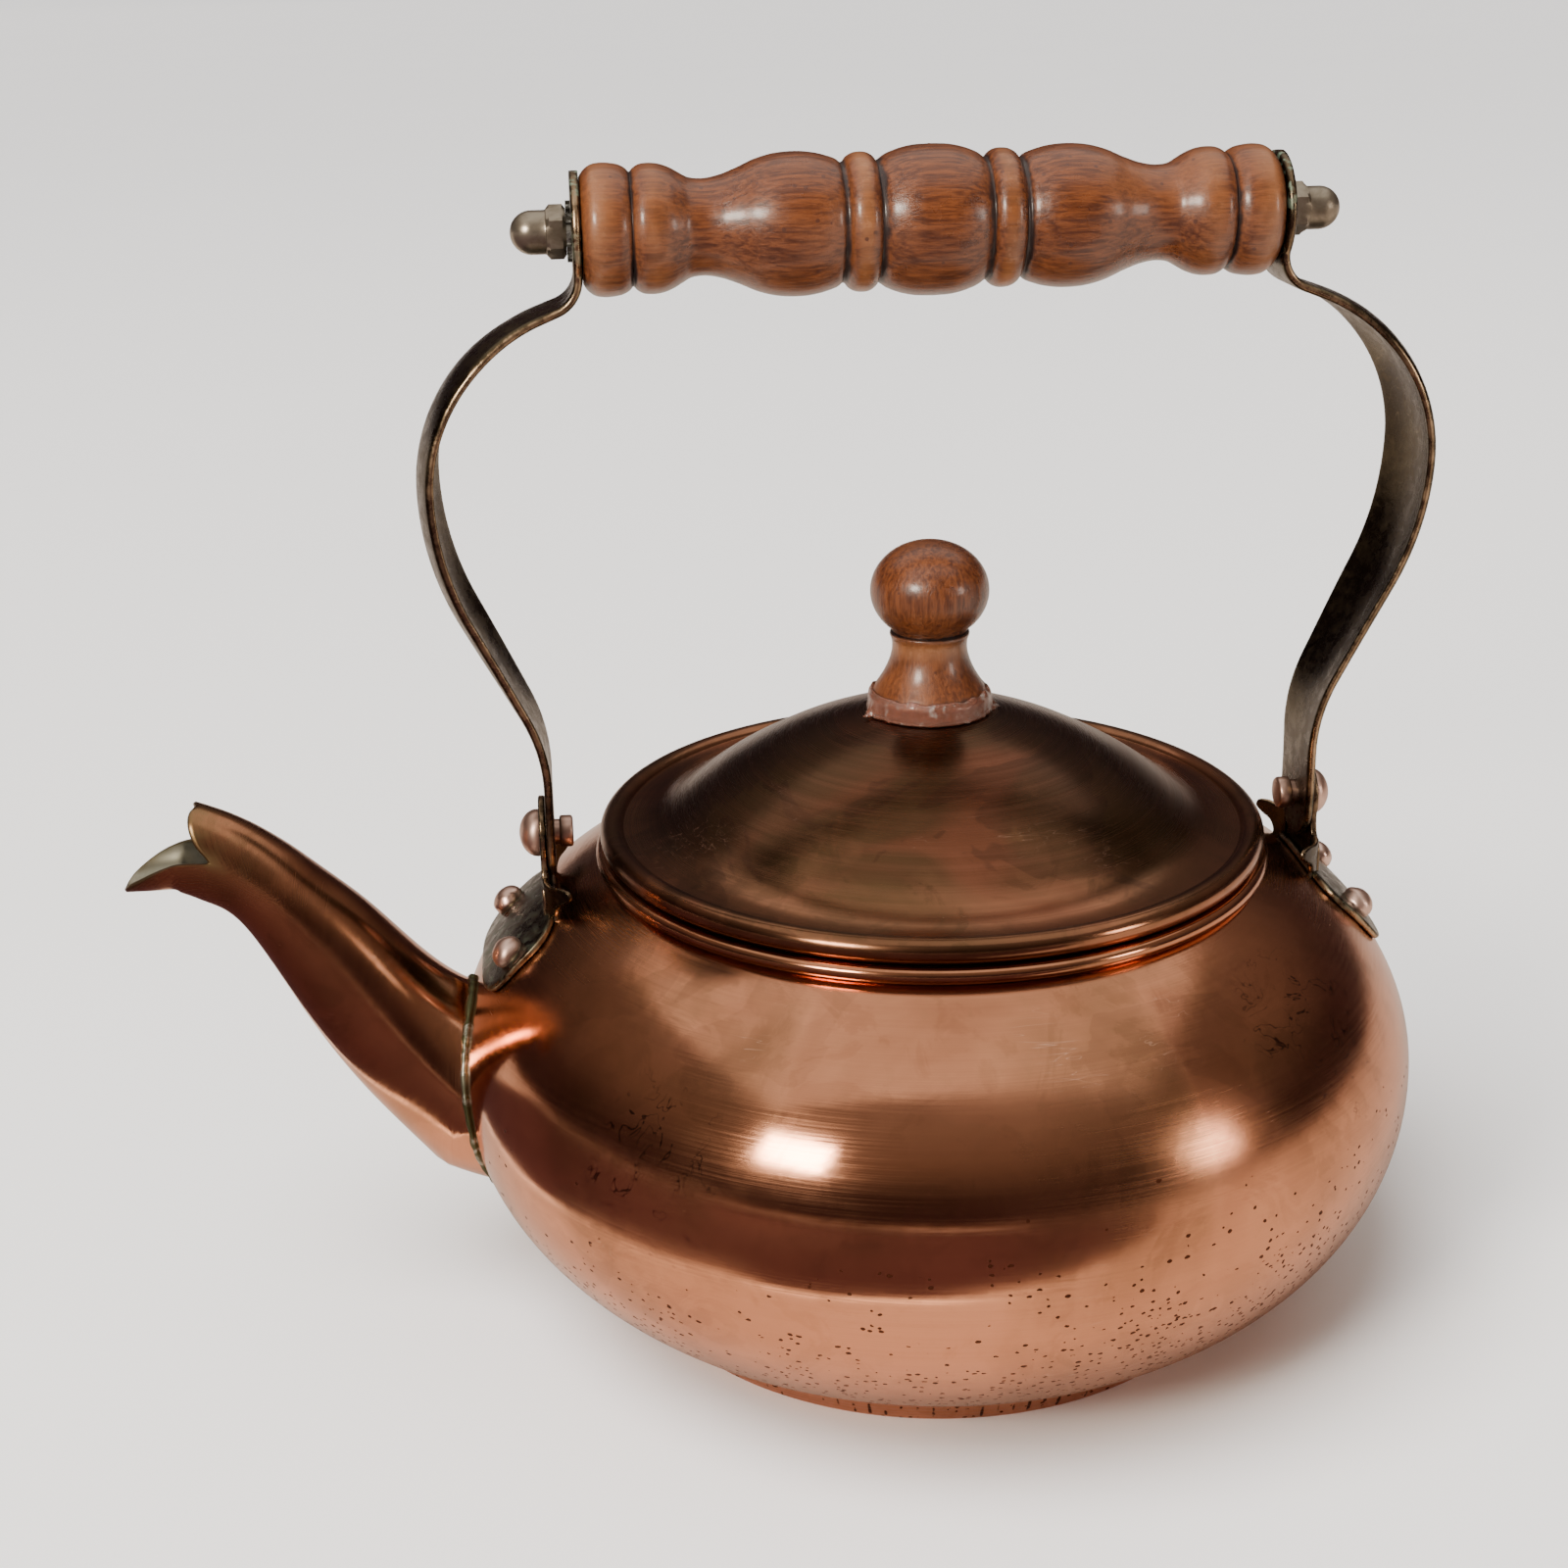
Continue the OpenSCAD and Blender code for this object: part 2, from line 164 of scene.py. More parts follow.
def bridge(t: Array, gap: Array, ends: tuple[Array, Array], slopes: tuple[Array, Array]) -> Array:
    """Cubic from one knot to the next that has a given slope at each.

    Args:
        t: share of the way, 0 to 1.
        gap: distance between the knots.
        ends: values at the two knots.
        slopes: slopes at the two knots.

    Returns:
        Values along the way.
    """
    return ((1 + 2 * t) * (1 - t) ** 2 * ends[0] + t * (1 - t) ** 2 * gap * slopes[0]
            + t * t * (3 - 2 * t) * ends[1] + t * t * (t - 1) * gap * slopes[1])


def smooth_line(knots: Array, count: int) -> Array:
    """Smooth curve through knots: a cubic between neighbours whose slopes are those of the chord
    from the knot before to the knot after, measured along the polyline's length.

    Args:
        knots: points of shape (n, 2).
        count: number of points wanted.

    Returns:
        Points of shape (count, 2), evenly spaced along the polyline.
    """
    gap = np.hypot(*np.diff(knots, axis=0).T)
    at = np.concatenate([[0], np.cumsum(gap)])
    slope = np.gradient(knots, at, axis=0)
    where = np.linspace(0, at[-1], count)
    k = np.clip(np.searchsorted(at, where, side="right") - 1, 0, len(knots) - 2)
    h = gap[k][:, None]
    t = ((where - at[k]) / gap[k])[:, None]
    return bridge(t, h, (knots[k], knots[k + 1]), (slope[k], slope[k + 1]))


def eased(knots: Array, where: Array) -> Array:
    """Smooth curve of value against place: a cubic between neighbouring knots, with the slope at a knot
    weighed from the chords on either side of it.

    Args:
        knots: place and value of each knot, of shape (n, 2), places rising.
        where: places wanted.

    Returns:
        Values, in the shape of the places.
    """
    at, value = knots.T
    slope = np.gradient(value, at)
    k = np.clip(np.searchsorted(at, where, side="right") - 1, 0, len(at) - 2)
    h = at[k + 1] - at[k]
    t = np.clip((where - at[k]) / h, 0, 1)
    return bridge(t, h, (value[k], value[k + 1]), (slope[k], slope[k + 1]))


def arc(centre: Pair, radius: float, start: float, end: float, count: int,
        high: float | None = None) -> Array:
    """Arc of a circle or an upright oval in the profile plane, between two angles in degrees.

    Args:
        centre: radius and height of the middle.
        radius: radius of the arc.
        start: first angle.
        end: last angle.
        count: number of points.
        high: half height of an oval; the radius if left out.

    Returns:
        Points of shape (count, 2).
    """
    angle = np.radians(np.linspace(start, end, count))
    tall = radius if high is None else high
    return np.stack([centre[0] + radius * np.cos(angle), centre[1] + tall * np.sin(angle)], -1)


def travel(line: Array) -> Array:
    """Distance run along a polyline at each of its points."""
    return np.concatenate([[0], np.cumsum(np.linalg.norm(np.diff(line, axis=0), axis=1))])


def spun(profile: Array, axis: Axis, ends: Ends, turns: int = 192, wobble: Array | None = None,
         masks: dict[str, Array] | None = None) -> Shell:
    """Turned piece: a point at radius r and height h goes to (r cos a, r sin a, h) as a runs round.

    Args:
        profile: radius and height of each point, of shape (n, 2).
        axis: axis of the turning; heights run along it.
        ends: how the profile closes.
        turns: number of steps round.
        wobble: what is added to the radius, of shape (n, turns).
        masks: masks of shape (n,) or (n, turns).

    Returns:
        The closed surface, with the distance along the profile as mask "along".
    """
    angle = circle(turns)
    radius = profile[:, :1] + (0 if wobble is None else wobble)
    height = np.broadcast_to(profile[:, 1:], (len(profile), turns))
    ring = [radius * np.cos(angle), radius * np.sin(angle), height]
    order = ring if axis is Axis.Z else [ring[2], ring[0], ring[1]]
    painted = {"along": travel(profile)[:, None] * MM}
    for name, value in (masks or {}).items():
        painted[name] = value[:, None] if value.ndim == 1 else value
    return loft(np.stack(order, -1), ends, painted)


def ripple(seed: int, rows: Array, columns: Array, count: int, reach: int) -> Array:
    """Gentle unevenness: a sum of waves, each with its own whole number of crests round the piece,
    its own rate along it and its own phase.

    Args:
        seed: seed of the draws.
        rows: place along the piece, about 0 to 1, of shape (n, 1).
        columns: angle round the piece, of shape (1, m).
        count: number of waves.
        reach: largest number of crests round.

    Returns:
        Values of about -1 to 1, of shape (n, m).
    """
    draw = np.random.default_rng(seed)
    crests = draw.integers(1, reach + 1, count)[:, None, None]
    rate = draw.uniform(-reach, reach, count)[:, None, None]
    phase = draw.uniform(0, 2 * np.pi, count)[:, None, None]
    return np.sin(crests * columns + rate * rows * np.pi + phase).mean(0) * math.sqrt(count) * 0.6


def meshed(name: str, shell: Shell) -> bpy.types.Mesh:
    """Mesh of a closed surface, turned from millimetres to metres."""
    mesh = bpy.data.meshes.new(name)
    faces = [face for block in shell.faces for face in block.tolist()]
    mesh.from_pydata((shell.points * MM).tolist(), [], faces)
    return mesh


def placed(name: str, data: bpy.types.ID) -> bpy.types.Object:
    """Makes an object of a mesh, lamp or camera and links it to the scene."""
    thing = bpy.data.objects.new(name, data)
    bpy.context.scene.collection.objects.link(thing)
    return thing


def built(name: str, shell: Shell, finish: bpy.types.Material, body: str,
          instead_of: tuple[str, ...] = (), sharp: float = 38.0) -> bpy.types.Object:
    """Makes the object of a piece, in metres at the origin, and ties it to its body and nodes.

    Args:
        name: name of the piece.
        shell: its surface in millimetres.
        finish: its material.
        body: body that it moves with.
        instead_of: nodes that it stands for.
        sharp: angle in degrees above which an edge stays sharp.

    Returns:
        The object.
    """
    mesh = meshed(name, shell)
    for mask, values in shell.masks.items():
        mesh.attributes.new(mask, "FLOAT", "POINT").data.foreach_set("value", values.astype(np.float32))
    mesh.shade_smooth()
    mesh.set_sharp_from_angle(angle=math.radians(sharp))
    mesh.materials.append(finish)
    piece = placed(name, mesh)
    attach(piece, body)
    if instead_of:
        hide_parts(*instead_of)
    log.info("%s: %d points, rides on %s", name, len(mesh.vertices), body)
    return piece


def drilled(piece: bpy.types.Object, cutters: list[Shell]) -> None:
    """Takes closed cutters out of a piece and keeps the result as its mesh.

    Args:
        piece: the piece to be cut.
        cutters: closed surfaces in millimetres.
    """
    for number, shell in enumerate(cutters):
        mesh = meshed(f"{piece.name}_cutter", shell)
        cutter = placed(mesh.name, mesh)
        cut = piece.modifiers.new(f"hole_{number}", "BOOLEAN")
        cut.operation, cut.solver, cut.object = "DIFFERENCE", "EXACT", cutter
        bpy.context.view_layer.update()
        graph = bpy.context.evaluated_depsgraph_get()
        result = bpy.data.meshes.new_from_object(piece.evaluated_get(graph))
        piece.modifiers.clear()
        old, piece.data = piece.data, result
        bpy.data.meshes.remove(old)
        bpy.data.objects.remove(cutter)
        bpy.data.meshes.remove(mesh)


# ---------------------------------------------------------------- finishes

class Graph:
    """A material's node tree, with short ways to add and link its nodes."""

    def __init__(self, name: str) -> None:
        """Starts a material with one principled surface."""
        self.material = bpy.data.materials.new(name)
        self.material.use_nodes = True
        self.tree = self.material.node_tree
        self.surface = self.tree.nodes["Principled BSDF"]
        self.place = self.tree.nodes.new("ShaderNodeTexCoord").outputs["Object"]

    def put(self, target, value) -> None:
        """Links a socket to an input, or sets the input's own value."""
        if isinstance(value, bpy.types.NodeSocket):
            self.tree.links.new(value, target)
        elif target.type == "RGBA" and len(value) == 3:
            target.default_value = (*value, 1.0)
        else:
            target.default_value = value

    def node(self, kind: str, inputs: dict, **settings) -> bpy.types.Node:
        """Adds a node, sets its properties and fills its inputs by name or number."""
        made = self.tree.nodes.new(f"ShaderNode{kind}")
        for key, value in settings.items():
            setattr(made, key, value)
        for key, value in inputs.items():
            self.put(made.inputs[key], value)
        return made

    def stretched(self, scale: Triple, turn: Triple = (0, 0, 0)):
        """Object coordinates scaled along each axis."""
        return self.node("Mapping", {"Vector": self.place, "Scale": scale, "Rotation": turn}).outputs[0]

    def noise(self, vector, scale: float, detail: float = 4, rough: float = 0.55, twist: float = 0):
        """Cloudy noise, about 0.3 to 0.7."""
        return self.node("TexNoise", {"Vector": vector, "Scale": scale, "Detail": detail,
                                      "Roughness": rough, "Distortion": twist}).outputs["Fac"]

    def cells(self, vector, scale: float, feature: str = "F1"):
        """Cell pattern; returns the node, whose outputs are the distance and a random colour."""
        return self.node("TexVoronoi", {"Vector": vector, "Scale": scale}, feature=feature)

    def mask(self, name: str):
        """A value painted on the piece's points."""
        return self.node("Attribute", {}, attribute_name=name).outputs["Fac"]

    def span(self, value, low: float, high: float, to_low: float = 0.0, to_high: float = 1.0):
        """Maps a range smoothly onto another one and holds the ends."""
        return self.node("MapRange", {"Value": value, "From Min": low, "From Max": high,
                                      "To Min": to_low, "To Max": to_high},
                         interpolation_type="SMOOTHSTEP").outputs[0]

    def calc(self, what: str, a, b=0.0, clamp: bool = False):
        """One arithmetic step."""
        return self.node("Math", {0: a, 1: b}, operation=what, use_clamp=clamp).outputs[0]

    def times(self, *values):
        """Product of several values."""
        total = values[0]
        for value in values[1:]:
            total = self.calc("MULTIPLY", total, value)
        return total

    def mix(self, share, first, second):
        """Colour between two colours."""
        return self.node("Mix", {0: share, 6: first, 7: second}, data_type="RGBA").outputs[2]

    def lay(self, height, distance: float, strength: float = 1.0, normal=None):
        """Relief from a height, over an earlier relief if one is given."""
        inputs = {"Height": height, "Distance": distance, "Strength": strength}
        if normal is not None:
            inputs["Normal"] = normal
        return self.node("Bump", inputs).outputs[0]

    def line(self, value, level: float, width: float):
        """Thin line where a value crosses a level."""
        return self.span(self.calc("ABSOLUTE", self.calc("SUBTRACT", value, level)), 0, width, 1, 0)

    def finished(self, **sockets) -> bpy.types.Material:
        """Fills the surface's inputs, with spaces for underscores, and returns the material."""
        for key, value in sockets.items():
            self.put(self.surface.inputs[key.replace("_", " ")], value)
        return self.material


@dataclass(frozen=True)
class Finish:
    """Look of a surface.

    Args:
        name: name of the material.
    """

    name: str

    def painted(self, g: Graph) -> bpy.types.Material:
        """Fills the graph and returns its material; every finish has its own way."""
        raise NotImplementedError

    def made(self) -> bpy.types.Material:
        """Builds the material.

        Returns:
            The material.
        """
        return self.painted(Graph(self.name))


@dataclass(frozen=True)
class CopperFinish(Finish):
    """Lacquered copper, brushed round the axis, with tarnish, stains and specks.

    Args:
        name: name of the material.
        bright: clean colour.
        brown: tarnished colour.
        tarnish: share of the tarnish at the low and high ends of its span.
        heights: span of heights in metres over which the tarnish grows.
        gloss: roughness where it is clean.
        dull: roughness added by tarnish.
        brushing: depth of the brushed lines in metres.
        blotches: strength of the wide sharp-edged stains.
        specks: share of the speck cells that show.
        stains: strength of the dried drops.
        lined: whether the inside is tinned.
        crimped: whether the crimp marks are darkened by grime and painted shade.
    """

    bright: Colour = (0.81, 0.365, 0.205)
    brown: Colour = (0.33, 0.135, 0.066)
    tarnish: Pair = (0.05, 0.5)
    heights: Pair = (0.03, 0.09)
    gloss: float = 0.09
    dull: float = 0.12
    brushing: float = 0.000004
    blotches: float = 0.25
    specks: float = 0.0
    stains: float = 0.0
    lined: bool = False
    crimped: bool = False

    def specked(self, g: Graph):
        """Mask of small dark specks, wider than high, thickest low down and to the right."""
        spots = g.cells(g.stretched((1, 1, 1.5)), 640)
        pick = g.node("SeparateColor", {0: spots.outputs["Color"]}).outputs[0]
        axes = g.node("SeparateXYZ", {0: g.place}).outputs
        crowd = g.calc("ADD", g.span(axes[2], 0.004, 0.056, 1.1, 0.2),
                       g.span(axes[0], -0.04, 0.06, -0.2, 0.35))
        crowd = g.times(g.calc("ADD", crowd, g.span(g.noise(g.place, 60, 3), 0.35, 0.65, -0.35, 0.25),
                               True),
                        g.span(axes[2], 0.036, 0.062, 1, 0), self.specks)
        chosen = g.calc("LESS_THAN", pick, crowd)
        size = g.span(g.noise(g.place, 900, 1), 0.3, 0.7, 0.12, 0.38)
        return g.times(chosen, g.calc("LESS_THAN", spots.outputs["Distance"], size))

    def stained(self, g: Graph):
        """Mask of dried drops: thin broken outlines where a noise crosses one level, in two patches of
        the shoulder, each a ball that fades outwards."""
        level = g.noise(g.place, 170, 2.5, 0.6, 0.9)
        edge = g.line(level, 0.575, 0.014)
        patches = None
        for spot, reach in (((-0.056, -0.066, 0.058), 0.019), ((0.058, -0.058, 0.072), 0.021)):
            away = g.node("VectorMath", {0: g.place, 1: spot}, operation="DISTANCE").outputs["Value"]
            patch = g.span(away, reach * 0.55, reach, 1, 0)
            patches = patch if patches is None else g.calc("MAXIMUM", patches, patch)
        return g.times(edge, patches, g.span(g.noise(g.place, 240), 0.40, 0.52), self.stains)

    def painted(self, g: Graph) -> bpy.types.Material:
        """Fills the graph and returns its material."""
        axes = g.node("SeparateXYZ", {0: g.place}).outputs
        clouds = g.noise(g.place, 17, 5, 0.6, 0.4)
        blots = g.noise(g.place, 60, 6, 0.65, 1.2)
        grow = g.span(axes[2], *self.heights, *self.tarnish)
        amount = g.calc("ADD", grow, g.span(clouds, 0.32, 0.68, -0.22, 0.22), True)
        amount = g.calc("ADD", amount, g.span(blots, 0.5, 0.56, 0, 0.1), True)
        colour = g.mix(amount, self.bright, self.brown)
        tone = g.noise(g.place, 24, 3, 0.5, 0.8)
        colour = g.mix(g.times(g.span(tone, 0.42, 0.6, 0, 0.55), amount), colour, (0.145, 0.088, 0.040))
        colour = g.mix(g.times(g.span(tone, 0.36, 0.46, 0.4, 0), amount), colour, (0.27, 0.082, 0.048))
        film = g.noise(g.place, 32, 4, 0.55, 0.6)
        colour = g.mix(g.times(g.span(film, 0.55, 0.562), amount, self.blotches), colour,
                       (0.075, 0.034, 0.020))
        line_place = g.node("CombineXYZ", {0: g.times(axes[0], 26), 1: g.times(axes[1], 26),
                                           2: g.times(g.mask("along"), 3800)}).outputs[0]
        lines = g.noise(line_place, 1, 3, 0.7)
        bands = g.noise(g.node("CombineXYZ", {0: g.times(axes[0], 8), 1: g.times(axes[1], 8),
                                              2: g.times(g.mask("along"), 520)}).outputs[0], 1, 4, 0.6)
        colour = g.mix(g.span(lines, 0.35, 0.7, 0.0, 0.10), colour, self.brown)
        colour = g.mix(g.span(bands, 0.4, 0.7, 0.0, 0.08), colour, (0.50, 0.20, 0.125))
        scratch = g.noise(g.stretched((30, 300, 700), (0.5, 0.35, 0.6)), 1, 2, 0.5, 0.6)
        scratches = g.times(g.line(scratch, 0.5, 0.008),
                            g.span(g.noise(g.place, 35, 2), 0.55, 0.7))
        colour = g.mix(g.times(scratches, 0.5), colour, (0.9, 0.55, 0.4))
        dull = g.calc("ADD", g.span(amount, 0, 1, self.gloss, self.gloss + self.dull),
                      g.span(lines, 0.3, 0.7, -0.03, 0.05))
        dull = g.calc("ADD", dull, g.span(g.noise(g.place, 13, 3), 0.45, 0.6, 0.0, 0.09))
        if self.stains:
            marks = self.stained(g)
            colour = g.mix(g.times(marks, 0.9), colour, (0.055, 0.018, 0.014))
            dull = g.calc("ADD", dull, g.times(marks, 0.03))
        if self.specks:
            dots = self.specked(g)
            colour = g.mix(dots, colour, (0.11, 0.036, 0.018))
            dull = g.calc("ADD", dull, g.times(dots, 0.4))
        if self.crimped:
            # Grime and painted shade: the crimp valleys are darkened, unevenly.
            crimp_grime_and_shade = g.times(g.mask("crimp"), g.span(g.noise(g.place, 260, 3), 0.44, 0.6, 0.1, 1.5))
            colour = g.mix(g.span(crimp_grime_and_shade, 0.25, 0.7), colour, (0.085, 0.030, 0.018))
        if self.lined:
            tin = g.mask("inside")
            tone = g.mix(g.span(g.noise(g.place, 110, 5), 0.36, 0.64), (0.30, 0.29, 0.22),
                         (0.55, 0.54, 0.47))
            colour = g.mix(tin, colour, tone)
            dull = g.calc("ADD", dull, g.times(tin, 0.2))
            stale = g.calc("ADD", g.mask("brim"), g.span(g.noise(g.place, 300, 4), 0.35, 0.65, -0.35, 0.05),
                           True)
            colour = g.mix(g.times(stale, 0.85), colour, (0.20, 0.150, 0.070))
            dull = g.calc("ADD", dull, g.times(stale, 0.12))
        relief = g.lay(lines, self.brushing)
        relief = g.lay(clouds, 0.00035, 0.5, relief)
        tangent = g.node("Tangent", {}, direction_type="RADIAL", axis="Z").outputs[0]
        return g.finished(Base_Color=colour, Metallic=1.0, Roughness=dull, Normal=relief, Anisotropic=0.45,
                          Anisotropic_Rotation=0.25, Tangent=tangent)


@dataclass(frozen=True)
class PatinaFinish(Finish):
    """Brass strip gone dark olive-brown, rubbed bright along its edges.

    Args:
        name: name of the material.
        dark: colour of the patina.
        olive: greener shade in patches.
        rubbed: colour of the rubbed edges.
        gloss: roughness of the patina.
    """

    dark: Colour = (0.046, 0.034, 0.021)
    olive: Colour = (0.100, 0.078, 0.045)
    rubbed: Colour = (0.56, 0.39, 0.24)
    gloss: float = 0.25

    def painted(self, g: Graph) -> bpy.types.Material:
        """Fills the graph and returns its material."""
        clouds = g.noise(g.place, 55, 6, 0.62, 0.5)
        fine = g.noise(g.place, 420, 5, 0.65)
        colour = g.mix(g.span(clouds, 0.36, 0.64), self.dark, self.olive)
        colour = g.mix(g.span(fine, 0.5, 0.72, 0, 0.4), colour, (0.16, 0.120, 0.066))
        rub = g.calc("ADD", g.mask("edge"), g.span(fine, 0.35, 0.7, -0.16, 0.06))
        rub = g.times(g.span(rub, 0.55, 0.95), g.span(clouds, 0.34, 0.6, 0.25, 0.95))
        colour = g.mix(rub, colour, self.rubbed)
        hair = g.noise(g.stretched((900, 160, 60), (0.2, 0.1, 0.3)), 1, 2, 0.5, 0.3)
        hairs = g.times(g.line(hair, 0.5, 0.012),
                        g.span(g.noise(g.place, 70, 2), 0.45, 0.62))
        colour = g.mix(g.times(hairs, 0.18), colour, (0.45, 0.36, 0.22))
        green = g.times(g.mask("verdigris"), g.span(g.noise(g.place, 500, 4), 0.48, 0.6))
        colour = g.mix(green, colour, (0.16, 0.24, 0.17))
        dull = g.calc("ADD", g.span(fine, 0.3, 0.7, self.gloss - 0.06, self.gloss + 0.14),
                      g.times(green, 0.3))
        relief = g.lay(fine, 0.00003, 0.8, g.lay(clouds, 0.0002, 0.6))
        return g.finished(Base_Color=colour, Metallic=g.span(green, 0, 1, 1.0, 0.2), Roughness=dull,
                          Normal=relief)


@dataclass(frozen=True)
class WoodFinish(Finish):
    """Turned hardwood under warm brown varnish, with painted shade darkening its grooves and beads rubbed
    pale.

    Args:
        name: name of the material.
        grain: how much the grain is stretched along each axis, as a noise scale per metre.
        pale: colour of rubbed wood.
        warm: colour of the wood.
        deep: colour of the darker grain.
        near_black: colour in the grooves.
    """

    grain: Triple
    pale: Colour = (0.27, 0.105, 0.036)
    warm: Colour = (0.135, 0.038, 0.010)
    deep: Colour = (0.048, 0.012, 0.004)
    near_black: Colour = (0.012, 0.004, 0.003)

    def painted(self, g: Graph) -> bpy.types.Material:
        """Fills the graph and returns its material."""
        along = g.stretched(self.grain)
        streak = g.noise(along, 1, 6, 0.62, 0.5)
        pores = g.noise(g.stretched(tuple(4.2 * v for v in self.grain)), 1, 3, 0.7)
        patches = g.noise(g.place, 48, 4, 0.6)
        colour = g.mix(g.span(streak, 0.34, 0.66), self.deep, self.warm)
        colour = g.mix(g.span(patches, 0.45, 0.72, 0, 0.55), colour, (0.205, 0.066, 0.019))
        colour = g.mix(g.span(pores, 0.56, 0.7, 0, 0.62), colour, (0.055, 0.014, 0.006))
        colour = g.mix(g.times(g.mask("crest"), g.span(patches, 0.35, 0.6, 0.35, 0.85)), colour, self.pale)
        chip = g.times(g.mask("crest"), g.span(g.noise(g.place, 620, 3, 0.6), 0.56, 0.62))
        colour = g.mix(g.times(chip, 0.10), colour, (0.60, 0.32, 0.17))
        # Painted shade: the colour darkens towards the groove colour where the cavity mask is high, in
        # grooves and crevices.
        sunk = g.calc("ADD", g.mask("cavity"), g.span(g.noise(g.place, 240, 4), 0.4, 0.65, -0.3, 0.12),
                      True)
        colour = g.mix(g.span(sunk, 0.1, 0.75), colour, self.near_black)
        flecks = g.cells(g.stretched((1, 1, 1)), 520)
        pick = g.node("SeparateColor", {0: flecks.outputs["Color"]}).outputs[1]
        fleck = g.times(g.calc("LESS_THAN", flecks.outputs["Distance"], 0.2),
                        g.calc("GREATER_THAN", pick, 0.86))
        colour = g.mix(g.times(fleck, 0.75), colour, (0.045, 0.014, 0.008))
        dull = g.calc("ADD", g.span(patches, 0.3, 0.7, 0.24, 0.42), g.times(sunk, 0.25))
        relief = g.lay(pores, 0.00006, 0.7, g.lay(streak, 0.00012, 0.6))
        relief = g.lay(patches, 0.0004, 0.5, relief)
        return g.finished(Base_Color=colour, Roughness=dull, Normal=relief, Coat_Weight=0.5,
                          Coat_Roughness=0.19)


@dataclass(frozen=True)
class GreyFinish(Finish):
    """Grey metal: nickel plate, solder or toothed steel, clouded by its own noise.

    Args:
        name: name of the material.
        light: lighter colour.
        dark: darker colour.
        gloss: lowest roughness.
        lumps: depth of its relief in metres.
        scale: noise scale per metre.
        low: where in the noise the lighter colour starts.
    """

    light: Colour
    dark: Colour
    gloss: float = 0.28
    lumps: float = 0.00004
    scale: float = 260
    low: float = 0.38

    def painted(self, g: Graph) -> bpy.types.Material:
        """Fills the graph and returns its material."""
        clouds = g.noise(g.place, self.scale, 5, 0.65, 0.4)
        wide = g.noise(g.place, self.scale * 0.22, 3)
        share = g.calc("ADD", g.span(clouds, self.low, self.low + 0.24),
                       g.span(wide, 0.35, 0.65, -0.25, 0.25), True)
        return g.finished(Base_Color=g.mix(share, self.dark, self.light), Metallic=0.95,
                          Roughness=g.span(clouds, 0.3, 0.7, self.gloss + 0.2, self.gloss),
                          Normal=g.lay(clouds, self.lumps))


@dataclass(frozen=True)
class FilmFinish(Finish):
    """Clear wrinkled glue left round the foot of the knob."""

    def painted(self, g: Graph) -> bpy.types.Material:
        """Fills the graph and returns its material."""
        wrinkle = g.noise(g.stretched((1, 1, 0.6)), 700, 4, 0.6, 0.8)
        colour = g.mix(g.span(wrinkle, 0.56, 0.66), (0.46, 0.20, 0.13), (0.78, 0.66, 0.58))
        return g.finished(Base_Color=colour, Roughness=0.25, Transmission_Weight=0.8, IOR=1.3,
                          Normal=g.lay(wrinkle, 0.00025), Coat_Weight=0.4, Coat_Roughness=0.12)


@dataclass(frozen=True)
class GroundFinish(Finish):
    """Plain pale floor."""

    def painted(self, g: Graph) -> bpy.types.Material:
        """Fills the graph and returns its material."""
        return g.finished(Base_Color=g.mix(g.noise(g.place, 3), (0.93, 0.925, 0.92), (0.95, 0.947, 0.943)),
                          Roughness=0.85)


# ---------------------------------------------------------------- body

